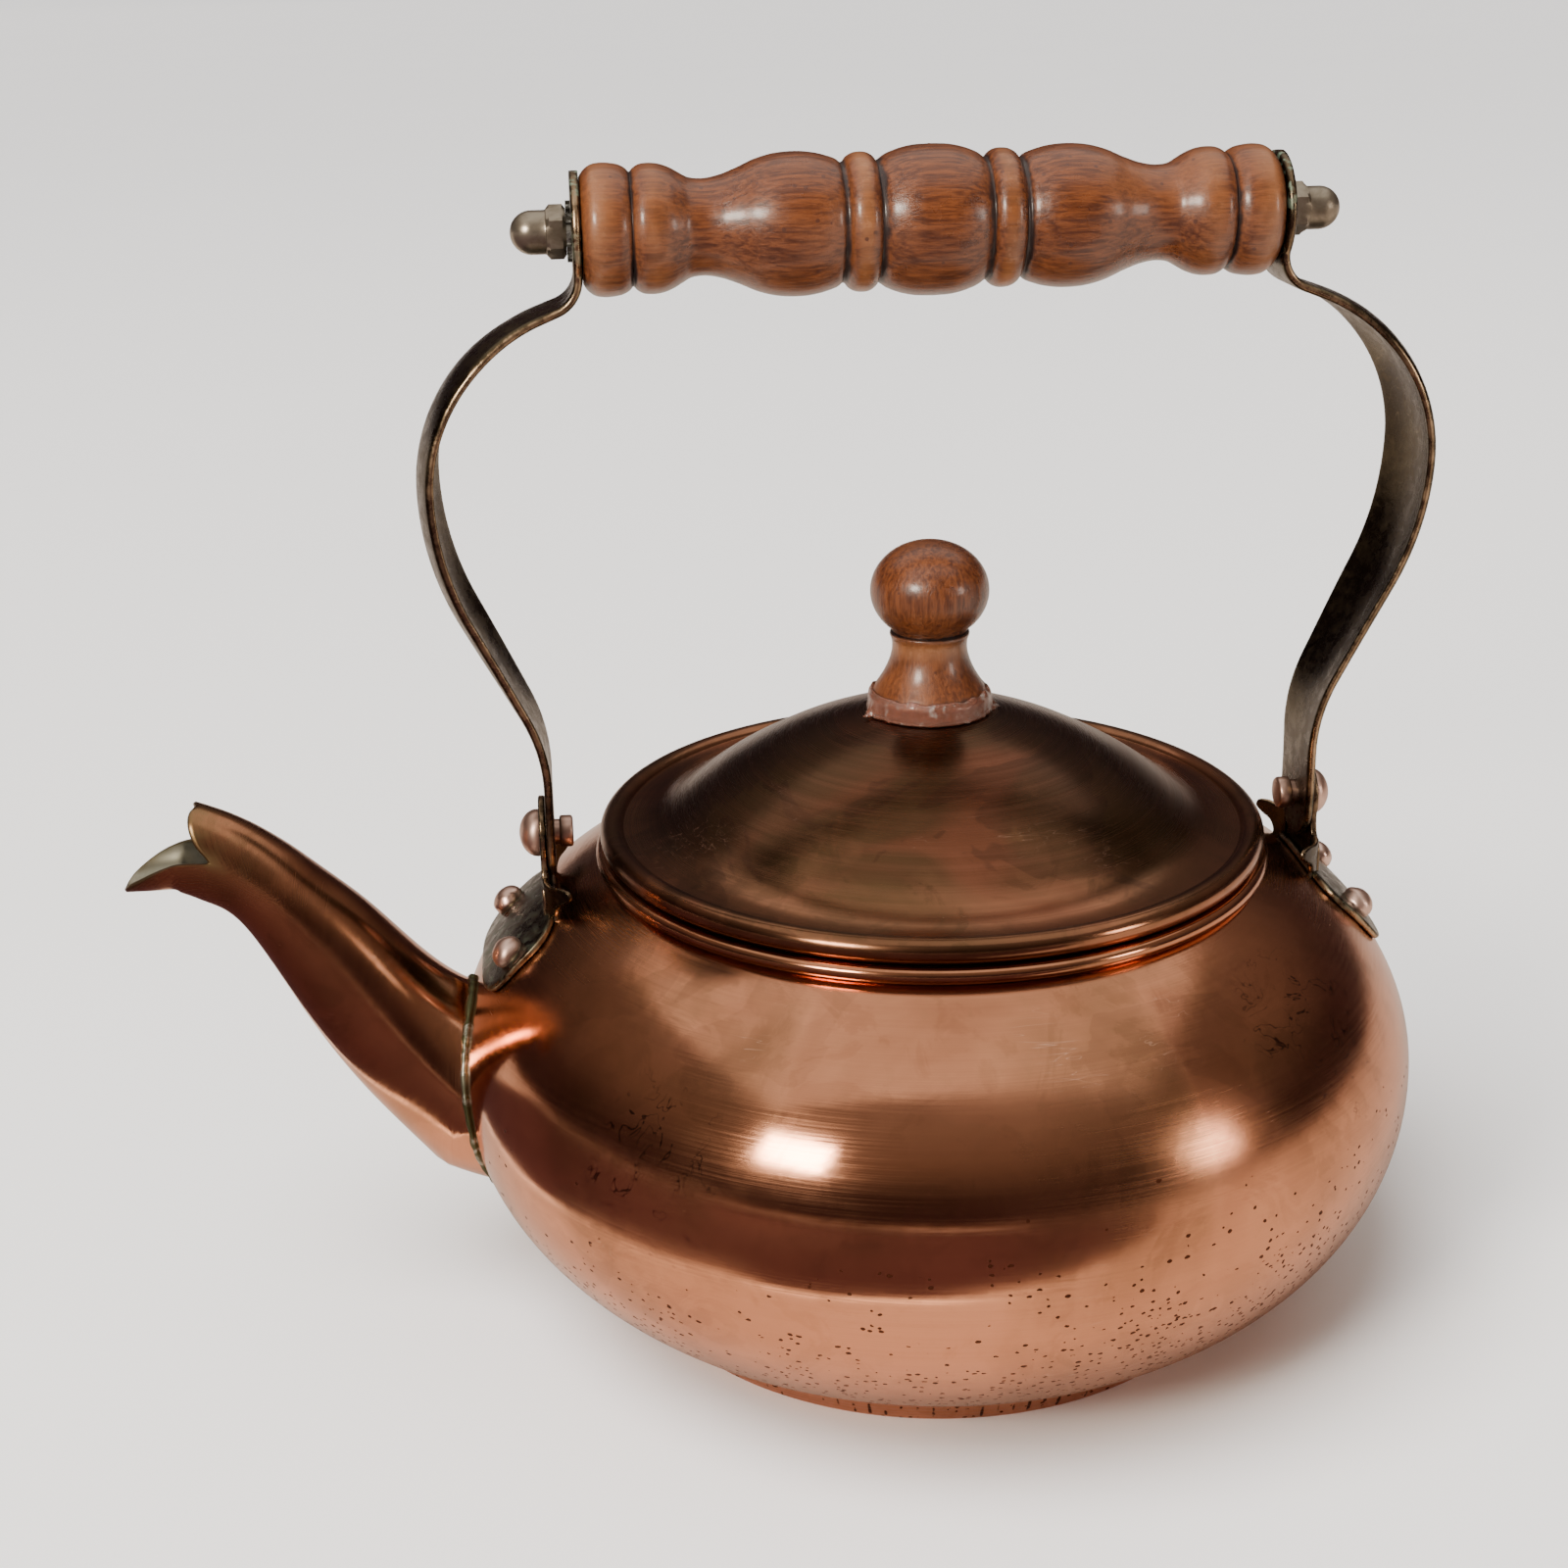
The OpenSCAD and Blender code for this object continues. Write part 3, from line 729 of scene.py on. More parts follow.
@dataclass
class Bowl:
    """The spun body with its foot, neck ring and the hole where the spout is let in. Sizes are in
    millimetres.
    """

    belly: float = 90.0
    middle: float = 47.7
    lower_drop: float = 54.5
    upper_rise: float = 50.5
    sheet: float = 1.0
    foot_height: float = 4.95
    neck: float = 58.4
    lower_squareness: Pair = (0.867, 0.957)
    upper_squareness: float = 0.952
    seat_gap: float = 0.05
    hole: float = 12.5
    crimps: int = 132

    def __post_init__(self) -> None:
        """Works out where the curves meet the foot and the neck."""
        drop = (self.middle - self.foot_height - self.seat_gap) / self.lower_drop
        self.foot_angle = math.asin(drop ** (1 / self.lower_squareness[1]))
        self.neck_angle = math.acos(((self.neck + 2.2) / self.belly) ** (1 / self.upper_squareness))
        self.neck_height = self.middle + self.upper_rise * math.sin(self.neck_angle) ** self.upper_squareness
        self.rim = self.neck_height + 2.9
        self.foot = self.belly * math.cos(self.foot_angle) ** self.lower_squareness[0]

    def outline(self, depth: float, count: int) -> Array:
        """Half outline of the body, a distance below its skin. Below the middle the radius is the belly's
        times cos a to one power and the drop is the full drop times sin a to another; above the middle both
        powers are the same.

        Args:
            depth: distance inward from the skin.
            count: points on each of the two curves.

        Returns:
            Radius and height from foot to neck, of shape (2 * count - 1, 2).
        """
        low = np.linspace(self.foot_angle, 0, count)
        high = np.linspace(0, self.neck_angle, count)[1:]
        power_r, power_h = self.lower_squareness
        lower = np.stack([(self.belly - depth) * np.cos(low) ** power_r,
                          self.middle - (self.lower_drop - depth) * np.sin(low) ** power_h], -1)
        upper = np.stack([(self.belly - depth) * np.cos(high) ** self.upper_squareness,
                          self.middle + (self.upper_rise - depth) * np.sin(high) ** self.upper_squareness],
                          -1)
        return np.vstack([lower, upper])

    def shoulder(self, radius: Array) -> Array:
        """Height of the upper curve at each radius."""
        turn = np.arccos(np.clip(radius / self.belly, 0, 1) ** (1 / self.upper_squareness))
        return self.middle + self.upper_rise * np.sin(turn) ** self.upper_squareness

    def slope(self, radius: Array) -> Array:
        """Steepness of the shoulder at each radius, as an angle below the level."""
        return np.arctan(self.shoulder(radius - 0.5) - self.shoulder(radius + 0.5))

    def excess(self, points: Array) -> Array:
        """How far points lie outside the body's skin: their radius less the skin's radius at their height."""
        line = self.outline(0, 400)
        return np.hypot(points[..., 0], points[..., 1]) - np.interp(points[..., 2], line[:, 1], line[:, 0])

    def shell(self) -> Shell:
        """Body sheet: the outline, the upright neck, and the inner outline back to the foot, spun."""
        lip = np.array([[self.neck + 1.0, self.neck_height + 0.15], [self.neck + 1, self.rim - 0.5]])
        curl = arc((self.neck + 0.5, self.rim - 0.75), 0.5, 0, 180, 9)
        skin, inner = self.outline(0, 110), self.outline(self.sheet, 40)[::-1]
        profile = np.vstack([skin, lip, curl, [[self.neck, self.neck_height - 0.9]], inner])
        outer = len(skin) + len(lip) + (len(curl) + 1) // 2
        inside = (np.arange(len(profile)) >= outer).astype(float)
        return spun(profile, Axis.Z, Ends.RING, 288, masks={"inside": inside})

    def hole_cutter(self) -> Shell:
        """Closed round bar through the wall where the spout is let in."""
        bar = spun(np.array([[self.hole, -9.0], [self.hole, 12.0]]), Axis.Z, Ends.HUBS, 96)
        lean = math.radians(-70)
        turn = np.array([[math.cos(lean), 0, math.sin(lean)], [0, 1, 0],
                         [-math.sin(lean), 0, math.cos(lean)]])
        return bar.moved(turn, np.array([-self.belly, 0, self.middle - 2]))

    def pan(self) -> Shell:
        """Foot: a flat pan with a rolled seam. Round its band the radius dips at each crimp mark, by a
        narrow valley, a high power of the cosine of the crimp count times the angle."""
        foot, high = self.foot, self.foot_height
        band = np.array([[foot - 2.6, 0.03], [foot - 2.1, 0.12], [foot - 1.75, 0.45], [foot - 1.1, 1.5],
                         [foot - 0.4, 2.9], [foot + 0.0, 3.8], [foot + 0.16, high - 0.75],
                         [foot + 0.36, high - 0.55],
                         [foot + 0.43, high - 0.32], [foot + 0.34, high - 0.12], [foot + 0.1, high - 0.02]])
        outer = smooth_line(band, 46)
        rest = np.array([[foot - 1.3, high], [foot - 1.3, high + 2.5], [foot - 2.1, high + 2.5],
                         [foot - 2.9, 1.0], [30, 1.0], [0.3, 1.0]])
        profile = np.vstack([[[0.3, 0.0], [30, 0.0]], outer, rest])
        turns = 792
        angle = circle(turns)[None, :]
        draw = np.random.default_rng(11).uniform(0.25, 1.0, self.crimps)
        which = np.floor(angle / (2 * np.pi) * self.crimps + 0.5).astype(int) % self.crimps
        valley = np.cos(angle * self.crimps / 2) ** 24 * draw[which]
        height = profile[:, 1:]
        on_band = np.clip((height - 0.3) / 0.8, 0, 1) * np.clip((high - 0.75 - height) / 0.6, 0, 1)
        on_band = on_band * (profile[:, :1] > foot - 2)
        uneven = 0.05 * ripple(12, height / high, angle, 6, 14) * (profile[:, :1] > foot - 2)
        return spun(profile, Axis.Z, Ends.HUBS, turns, -0.17 * valley * on_band + uneven,
                    {"crimp": valley * on_band})

    def ring(self) -> Shell:
        """Neck ring: half round outside, flat against the neck."""
        half = (self.rim - self.neck_height) / 2 - self.seat_gap / 2
        level = (self.rim + self.neck_height + self.seat_gap) / 2
        inner = self.neck + 1 + self.seat_gap
        outer = arc((self.neck + 4.1 - half, level), half, -90, 90, 28)
        return spun(np.vstack([outer, [[inner, level + half], [inner, level - half]]]), Axis.Z, Ends.RING,
                    256)


@dataclass
class Gooseneck:
    """Spout swept along a curve of four control points, and the solder at its root."""

    bowl: Bowl
    reach: float = 58.2
    mouth_rise: float = 44.8
    mouth: float = 6.4
    root: float = 18.5
    wall: float = 0.9
    lip_run: float = 10.2

    def controls(self) -> Array:
        """Control points of the axis, in the plane of the spout: x and height."""
        belly, middle = self.bowl.belly, self.bowl.middle
        top = middle + self.mouth_rise
        return np.array([[12 - belly, middle - 6.7], [-22 - belly, middle + 4.3], [-22 - belly, top - 0.5],
                         [self.lip_run - belly - self.reach, top]])

    def beak(self, turn: Array) -> Array:
        """How far past the mouth each side of the lip runs, by its angle: short on top, a notch at the
        sides and a long trough below."""
        knots = np.array([[-90, 10.2], [-62, 9.7], [-46, 8.8], [-34, 7.5], [-23, 5.9], [-13, 4.1],
                          [-5, 2.2],
                          [1, 0.1], [5, -2.6], [8, -5.0], [11, -6.0], [16, -5.7], [28, -4.1], [45, -2.8],
                          [68, -2.2], [90, -2.9]], float)
        return eased(knots, turn)

    def point(self, along: Array, turn: Array, depth: float) -> Array:
        """Point of the tube. The axis is a cubic of its control points; the radius falls from root to mouth
        and is laid off across the axis, level sideways and upright in the spout's plane. Past the mouth
        the tube runs straight on, narrows and droops.

        Args:
            along: place on the axis, 1 at the mouth and 1 more for each lip run past it.
            turn: angle round the axis in degrees, 90 on top.
            depth: distance inward from the skin.

        Returns:
            Points, with the shape of the inputs and three coordinates.
        """
        p = self.controls()
        t = np.clip(along, 0, 1)[..., None]
        past = (along - 1)[..., None] * (along > 1)[..., None]
        axis = (1 - t) ** 3 * p[0] + 3 * t * (1 - t) ** 2 * p[1] + 3 * t * t * (1 - t) * p[2] + t ** 3 * p[3]
        way = (1 - t) ** 2 * (p[1] - p[0]) + 2 * t * (1 - t) * (p[2] - p[1]) + t * t * (p[3] - p[2])
        way = way / np.linalg.norm(way, axis=-1, keepdims=True)
        t, past = t[..., 0], past[..., 0]
        radius = np.minimum(self.root, self.mouth + 9.4 * (1 - t) + 10 * (1 - t) ** 11) - depth
        up, side = np.sin(np.radians(turn)), np.cos(np.radians(turn))
        flare = 3.5 * np.clip((t - 0.78) / 0.2, 0, 1) ** 2 - 1.2 * np.exp(-((t - 0.70) / 0.12) ** 2)
        belly = 1.3 * np.exp(-((along - 0.93) / 0.11) ** 2)
        radius = radius + flare * np.clip(up, 0, 1) ** 2 + belly * np.clip(-up, 0, 1) ** 2
        narrow = 1 - 0.30 * np.clip(past, 0, 1) ** 2.6
        x = axis[..., 0] + radius * up * way[..., 1] - self.lip_run * past
        z = axis[..., 1] - radius * up * way[..., 0] - 0.3 * past
        return np.stack([x, -radius * side * narrow, z], -1)

    def start(self, turn: Array, depth: float, sink: float) -> Array:
        """Place on the axis where each side of the tube meets the body's skin, found by halving."""
        low, high = np.zeros_like(turn), np.full_like(turn, 0.6)
        for _ in range(40):
            mid = (low + high) / 2
            inside = self.bowl.excess(self.point(mid, turn, depth)) < sink
            low, high = np.where(inside, mid, low), np.where(inside, high, mid)
        return (low + high) / 2

    def tube(self) -> Shell:
        """Wall of the spout: the outer skin from the body to the lip, a rounded edge, and the inner skin
        back to the body."""
        columns, rows, rounding = 240, 100, 0.32
        turn = np.linspace(-180, 180, columns, endpoint=False)
        lip = self.beak(np.degrees(np.arcsin(np.sin(np.radians(turn)))))
        pace = 3 * np.linalg.norm(self.controls()[3] - self.controls()[2])
        end = 1 + np.where(lip < 0, lip / pace, lip / self.lip_run)
        round_off = np.where(lip < 0, rounding / pace, rounding / self.lip_run)
        share = np.linspace(0, 1, rows)[:, None]
        outer_start = self.start(turn, 0.0, 0.05)[None, :]
        inner_start = self.start(turn, self.wall, 0.05)[None, :]
        outer = self.point(outer_start + (end - outer_start) * share, turn + 0 * share, 0.0)
        inner = self.point(inner_start + (end - inner_start) * share[::-1], turn + 0 * share, self.wall)
        edge = self.point((end + round_off)[None, :], turn[None, :], self.wall / 2)
        inside = np.concatenate([np.zeros(rows), [0.5], np.ones(rows)])[:, None]
        brim = np.concatenate([share ** 14, [[1.0]], share[::-1] ** 14])
        along = np.concatenate([share * 0.12, [[0.12]], share[::-1] * 0.12])
        return loft(np.concatenate([outer, edge, inner]), Ends.RING,
                    {"inside": inside, "brim": brim, "along": along})

    def solder(self) -> Shell:
        """Fillet of solder: a circle of uneven radius carried round the line where spout and body meet."""
        columns = 360
        turn = np.linspace(-180, 180, columns, endpoint=False)
        line = self.point(self.start(turn, -0.35, 0.35), turn, -0.35)
        tangent = np.roll(line, -1, 0) - np.roll(line, 1, 0)
        tangent /= np.linalg.norm(tangent, axis=1, keepdims=True)
        out = line * [1, 1, 0] / np.hypot(line[:, 0], line[:, 1])[:, None]
        across = np.cross(tangent, out)
        across /= np.linalg.norm(across, axis=1, keepdims=True)
        out = np.cross(across, tangent)
        angle = np.radians(turn)[:, None]
        thick = 0.62 + 0.22 * ripple(5, np.zeros((columns, 1)), angle, 14, 40)
        around = circle(14)[None, :]
        spot = line[:, None] + thick[..., None] * (np.cos(around)[..., None] * across[:, None]
                                                   + np.sin(around)[..., None] * out[:, None])
        return loft(spot, Ends.RING)


# ---------------------------------------------------------------- brackets and bail

def slab(outline: Array, thick: float, rounding: float, place) -> Shell:
    """Flat piece with rounded edges. Rows run from the middle of the underside out to the edge, round it by
    a quarter circle, up, round again and back to the middle of the upper side.

    Args:
        outline: closed outline, anticlockwise, of shape (n, 2).
        thick: thickness.
        rounding: radius of the edges.
        place: function that takes two flat coordinates and a height and gives points in space.

    Returns:
        The closed surface with mask "edge".
    """
    along = np.roll(outline, -1, 0) - np.roll(outline, 1, 0)
    along /= np.linalg.norm(along, axis=1, keepdims=True) + 1e-9
    inward = np.stack([-along[:, 1], along[:, 0]], -1)
    centre = outline.mean(0)
    share = np.array([0.04, 0.3, 0.55, 0.75, 0.88, 0.95])
    steps = len(share)
    bend = np.radians(np.linspace(0, 90, steps))
    inset = np.concatenate([np.full(steps, rounding), rounding * (1 - np.sin(bend))])
    lift = np.concatenate([np.zeros(steps), rounding * (1 - np.cos(bend))])
    scale = np.concatenate([share, np.ones(steps)])
    worn = np.concatenate([np.clip((share - 0.85) * 2.4, 0, 1), np.linspace(0.35, 1, steps)])
    inset, scale, worn = (np.concatenate([v, v[::-1]]) for v in (inset, scale, worn))
    lift = np.concatenate([lift, thick - lift[::-1]])
    flat = centre + (outline + inward * inset[:, None, None] - centre) * scale[:, None, None]
    return loft(place(flat[..., 0], flat[..., 1], lift[:, None]), Ends.HUBS, {"edge": worn[:, None]})


@dataclass
class Bracket:
    """Brass bracket riveted to the shoulder: a plate, an upright ear and two curled cusps; sizes in mm."""

    bowl: Bowl
    pivot: Pair
    ear: float = 6.8
    ear_thick: float = 1.25
    ear_gap: float = 0.83
    plate_thick: float = 1.3
    rivet: Pair = (7.55, 11.8)
    pin: float = 2.3

    def plate(self) -> Shell:
        """Plate laid on the shoulder: its outline is a squared oval, and a height is laid off along the
        shoulder's normal."""
        turn = circle(180)
        deep = np.where(np.cos(turn) > 0, 6.6, 7.2)
        size = ((np.abs(np.cos(turn)) / deep) ** 3.4 + (np.abs(np.sin(turn)) / 16.9) ** 3.4) ** (-1 / 3.4)
        outline = np.stack([self.pivot[0] + 6.6 + size * np.cos(turn), size * np.sin(turn)], -1)

        def place(x: Array, y: Array, lift: Array) -> Array:
            """Puts a flat point on the shoulder."""
            radius = np.hypot(x, y)
            steep = self.bowl.slope(radius)
            rise = lift + self.bowl.seat_gap
            out = rise * np.sin(steep) / radius
            return np.stack([x + x * out, y + y * out, self.bowl.shoulder(radius) + rise * np.cos(steep)],
                            -1)

        return slab(outline, self.plate_thick, 0.45, place)

    def column(self) -> Shell:
        """Upright ear: a round head about the pivot, a waist and a spread foot, in the plane across X."""
        head = arc((0.0, 0.0), self.ear, -8, 188, 60)
        side = np.array([[-6.25, -3.0], [-6.8, -5.6], [-9.0, -8.2], [-9.3, -13.4]])
        foot = np.array([[-4.0, -13.6], [0.0, -13.6], [4.0, -13.6]])
        left = smooth_line(np.vstack([head[-2:], side]), 30)[2:]
        right = (left * [-1, 1])[::-1]
        outline = np.vstack([head, left, foot, right])
        x0 = self.pivot[0] + self.ear_gap
        return slab(outline, self.ear_thick, 0.4,
                    lambda y, z, lift: np.stack([x0 + lift + 0 * y, y, z + self.pivot[1]], -1))

    def cusp(self, side: float) -> Shell:
        """Leaf beside the ear, curled towards the lid: it bends in by a power of its reach.

        Args:
            side: 1 or -1, the side of the ear.

        Returns:
            The closed surface.
        """
        knots = np.array([[-1.6, -14.2], [1.2, -14.4], [3.3, -14.0], [3.2, -12.2], [3.9, -10.6],
                          [5.6, -9.7],
                          [6.6, -8.8], [6.3, -7.6], [4.9, -6.9], [2.4, -6.9], [0.2, -6.4], [-1.6, -6.2],
                          [-2.2, -10.0], [-1.6, -14.2]])
        outline = smooth_line(knots, 121)[:-1]
        x0, z0 = self.pivot[0] + self.ear_gap, self.pivot[1]

        def place(u: Array, v: Array, lift: Array) -> Array:
            """Bends a flat point of the leaf in towards the lid."""
            reach = np.clip(u, 0, None) / 6.5
            lean = 0.75 * np.clip(reach, 0, 1.2)
            return np.stack([x0 + lift * np.cos(lean) - 4.3 * reach ** 1.35,
                             side * (8.4 + 0.84 * u + lift * np.sin(lean) * 0.6),
                             v + z0 + 0.9 * reach ** 2], -1)

        return slab(outline, self.ear_thick - 0.15, 0.4, place)

    def whole(self) -> Shell:
        """The plate, the ear and both cusps."""
        shell = joined([self.plate(), self.column(), self.cusp(1), self.cusp(-1)])
        low = shell.points[:, 2]
        shell.masks["verdigris"] = np.clip((self.pivot[1] - 8 - low) / 8, 0, 1) * 0.25
        return shell

    def rivets(self) -> Shell:
        """Four peened rivets: a shank, a flat tail and a dome, a quarter of an oval, a little uneven,
        each turned onto the shoulder's normal."""
        tail = np.array([[0.3, -2.1], [2.2, -1.9], [2.2, -1.1], [1.6, -1.1], [1.6, 1.42]])
        dome = arc((0.0, 1.95), 3.1, -18, 86, 22, 2.5)
        profile = np.vstack([tail, [[2.7, 1.38]], dome])
        angle = circle(72)[None, :]
        on_head = np.clip(profile[:, 1:] - 1.3, 0, 1)
        x, y = self.pivot[0] + self.rivet[0], self.rivet[1]
        radius = math.hypot(x, y)
        steep = float(self.bowl.slope(np.array(radius)))
        shells = []
        for number, around in enumerate([math.atan2(y, x), math.atan2(-y, x), math.atan2(y, -x),
                                         math.atan2(-y, -x)]):
            uneven = 0.11 * ripple(30 + number, profile[:, 1:] / 4, angle, 5, 4) * on_head
            tilt = Matrix.Rotation(around, 3, "Z") @ Matrix.Rotation(steep, 3, "Y")
            spot = np.array([radius * math.cos(around), radius * math.sin(around),
                             float(self.bowl.shoulder(np.array(radius)))])
            shells.append(spun(profile, Axis.Z, Ends.HUBS, 72, uneven).moved(np.array(tilt), spot))
        return joined(shells)

    def pins(self) -> Shell:
        """Two pivot pins: an upset barrel inside, a shank through strap and ear, and a dome outside."""
        inner = self.pivot[0] - 1.65
        out = self.pivot[0] + self.ear_gap + self.ear_thick + 0.05
        barrel = np.array([[0.3, inner - 2.5], [2.3, inner - 2.5], [2.75, inner - 2.38],
                           [2.95, inner - 2.05],
                           [2.95, inner - 0.35], [2.8, inner - 0.1], [self.pin, inner], [self.pin, out],
                           [4.0, out]])
        dome = arc((0.0, out + 0.35), 4.4, -8, 86, 26, 3.3)
        profile = np.vstack([barrel, dome])
        angle = circle(96)[None, :]
        uneven = 0.06 * ripple(41, profile[:, 1:] / 6, angle, 5, 3) * (profile[:, :1] > self.pin + 0.2)
        pin = spun(profile, Axis.X, Ends.HUBS, 96, uneven)
        return joined([pin.moved(np.diag([side, 1, 1]),
                                 np.array([0, 0, self.pivot[1]])) for side in (1, -1)])


@dataclass
class Bail:
    """Two dished straps, their nuts and the turned grip between them. Sizes are in millimetres."""

    pivot: Pair
    grip_height: float
    grip_half: float = 59.9
    grip_radius: float = 12.75
    thick: float = 1.5
    width: float = 23.0
    eye: float = 10.0
    foot: float = 8.0
    rod: float = 2.5
    pin: float = 2.3
    out_head: float = -20.0
    in_head: float = -117.0

    def walk(self, outward_run: float, inward_run: float) -> tuple[Array, Array, Array]:
        """Walks the strap from the top of its eye to its foot: the heading turns evenly within each leg,
        and the place is the running sum of small steps along the heading.

        Args:
            outward_run: length of the straight run outwards.
            inward_run: length of the straight run inwards.

        Returns:
            Distance travelled, heading in radians and place.
        """
        lengths = np.array([self.eye + 7.1, 7.33, outward_run, 37.9, 24.5, inward_run, 15.1,
                            self.foot + 10])
        turns = np.array([0, self.out_head + 90, 0, -90 - self.out_head, 90 + self.in_head, 0,
                          -90 - self.in_head, 0])
        knots = np.concatenate([[0], np.cumsum(lengths)])
        bearing = np.concatenate([[-90], -90 + np.cumsum(turns)])
        s = np.linspace(0, knots[-1], 6000)
        heading = np.radians(np.interp(s, knots, bearing))
        step = np.stack([np.cos(heading), np.sin(heading)], -1)
        steps = (step[1:] + step[:-1]) / 2 * np.diff(s)[:, None]
        start = np.array([self.grip_half + 0.1 + self.thick / 2, self.grip_height + self.eye])
        return s, heading, start + np.vstack([[0, 0], np.cumsum(steps, 0)])

    def path(self) -> tuple[Array, Array, Array]:
        """The walk whose two straight runs make it end at the foot, below the pivot."""
        target = np.array([self.pivot[0], self.pivot[1] - self.foot])
        short = target - self.walk(0, 0)[2][-1]
        runs = np.radians([self.out_head, self.in_head])
        outward_run, inward_run = np.linalg.solve(np.array([np.cos(runs), np.sin(runs)]), short)
        return self.walk(float(outward_run), float(inward_run))

    def strap(self, side: float) -> Shell:
        """Strap: across its path lie a flat middle and half-round edges; the middle bulges outwards by a
        parabola whose depth follows the path.

        Args:
            side: 1 for the strap at +X, -1 for the other one.

        Returns:
            The closed surface with masks "edge" and "verdigris".
        """
        s, heading, place = self.path()
        full = s[-1]
        near = 1 - np.cos(np.linspace(0, np.pi / 2, 18))
        where = np.concatenate([0.03 + self.eye * near,
                                np.linspace(self.eye + 0.6, full - self.foot - 0.6, 190),
                                full - 0.03 - self.foot * near[::-1]])
        widths = np.array([[0.0, 7.4], [0.10, 7.4], [0.17, 7.5], [0.31, self.width * 0.47],
                           [0.46, self.width / 2],
                           [0.62, 10.6], [0.78, 9.0], [0.88, self.foot + 0.15], [1.0, self.foot]])
        dishes = np.array([[0.0, 0.0], [0.17, 0], [0.29, 1.5], [0.42, 2.15], [0.68, 2.0], [0.82, 0.7],
                           [0.88, 0.05], [1.0, 0.0]])
        half = eased(widths, where / full)
        half = np.maximum(half, np.sqrt(np.clip(self.eye ** 2 - (where - self.eye) ** 2, 0, None)))
        tip = np.sqrt(np.clip(self.foot ** 2 - np.clip(self.foot - full + where, 0, None) ** 2, 0, None))
        top = np.sqrt(np.clip(self.eye ** 2 - np.clip(self.eye - where, 0, None) ** 2, 0, None))
        half = np.maximum(np.where(where > full - self.foot, np.minimum(half, tip),
                                   np.where(where < self.eye, top, half)), 0.9)[:, None]
        dish = eased(dishes, where / full)[:, None]
        edge = self.thick / 2
        bend = np.radians(np.linspace(67.5, -67.5, 7))
        across = np.linspace(-1, 1, 21)
        flat = half - edge
        y = np.hstack([across * flat, flat + edge * np.cos(bend), across[::-1] * flat,
                       -flat - edge * np.cos(bend)])
        lift = np.concatenate([np.full(21, edge), edge * np.sin(bend), np.full(21, -edge),
                               -edge * np.sin(bend)])
        rise = lift + dish * (0.5 - (y / half) ** 2)
        ways = np.interp(where, s, heading)[:, None]
        x = np.interp(where, s, place[:, 0])[:, None] - np.sin(ways) * rise
        z = np.interp(where, s, place[:, 1])[:, None] + np.cos(ways) * rise
        worn = np.exp(-np.clip(half - np.abs(y), 0, None) / 0.55)
        green = np.clip(1 - where / 22, 0, 1)[:, None] * 0.7 + np.clip(1 - (full - where) / 14, 0,
                                                                       1)[:, None] * 0.2
        return loft(np.stack([side * x, y, z], -1), Ends.HUBS, {"edge": worn, "verdigris": green})

    def holes(self, side: float) -> list[Shell]:
        """Bars through the eye and through the foot."""
        bar = np.array([[1.0, -9.0], [1.0, 9.0]])
        spots = [(self.rod + 0.05, self.grip_half + 0.85, self.grip_height), (self.pin + 0.06, *self.pivot)]
        return [spun(bar * [radius, 1], Axis.X, Ends.HUBS, 64).moved(np.eye(3), np.array([side * x, 0, z]))
                for radius, x, z in spots]

    def nuts(self) -> Shell:
        """Acorn nuts: the profile of a chamfered nut under a dome, spun, where the nut's radius is held to
        that of a hexagon, the flat's distance over the cosine of the angle from its middle."""
        x0 = self.grip_half + 0.1 + self.thick + 0.05 + 0.8 + 0.05
        flat = self.rod + 1.5
        corner = flat / math.cos(math.radians(30))
        nut = np.array([[self.rod + 0.1, 0.0], [flat * 0.97, 0.0], [corner, 0.55], [corner, 1.2],
                        [corner, 2.0],
                        [corner, 2.75], [flat * 0.985, 3.3], [3.75, 3.42]])
        cap = np.vstack([[[3.7, 3.6], [3.7, 4.6], [3.7, 5.6]], arc((0.0, 5.8), 3.7, 0, 86, 24)])
        profile = np.vstack([nut, cap])
        turns = 216
        angle = circle(turns)
        hexagon = flat / np.cos((angle + np.pi / 6) % (np.pi / 3) - np.pi / 6)
        held = np.minimum(profile[:, :1],
                          np.where(profile[:, 1:] < 3.4, hexagon[None, :], 99)) - profile[:, :1]
        nut_shell = spun(profile, Axis.X, Ends.HUBS, turns, held)
        return joined([nut_shell.moved(np.diag([side, 1, 1]), np.array([side * x0, 0, self.grip_height]))
                       for side in (1, -1)])

    def grip(self) -> Shell:
        """Turned grip: a smooth profile through its beads, mirrored about the middle and spun about X.
        A groove is where the radius is under its own running mean, a crest where it is over it."""
        beads = np.array([[0, 1], [0.055, 0.985], [0.10, 0.935], [0.135, 0.865], [0.150, 0.815],
                          [0.157, 0.80],
                          [0.165, 0.85], [0.182, 0.905], [0.205, 0.92], [0.228, 0.90], [0.243, 0.855],
                          [0.252, 0.80], [0.260, 0.79], [0.269, 0.825], [0.30, 0.885], [0.35, 0.938],
                          [0.40, 0.95],
                          [0.45, 0.93], [0.50, 0.87], [0.56, 0.75], [0.61, 0.668], [0.66, 0.635],
                          [0.695, 0.66],
                          [0.72, 0.725], [0.745, 0.79], [0.775, 0.84], [0.805, 0.855], [0.832, 0.838],
                          [0.850, 0.785], [0.858, 0.745], [0.866, 0.785], [0.885, 0.84], [0.91, 0.866],
                          [0.94, 0.875], [0.968, 0.85], [0.99, 0.77], [1.0, 0.70]])
        half = smooth_line(beads * [self.grip_half, self.grip_radius], 240)
        line = np.vstack([(half * [-1, 1])[:0:-1], half])
        even = np.linspace(-self.grip_half, self.grip_half, 1201)
        radius = np.interp(even, line[:, 0], line[:, 1])
        mean = np.convolve(np.pad(radius, 40, mode="edge"), np.ones(81) / 81, mode="valid")
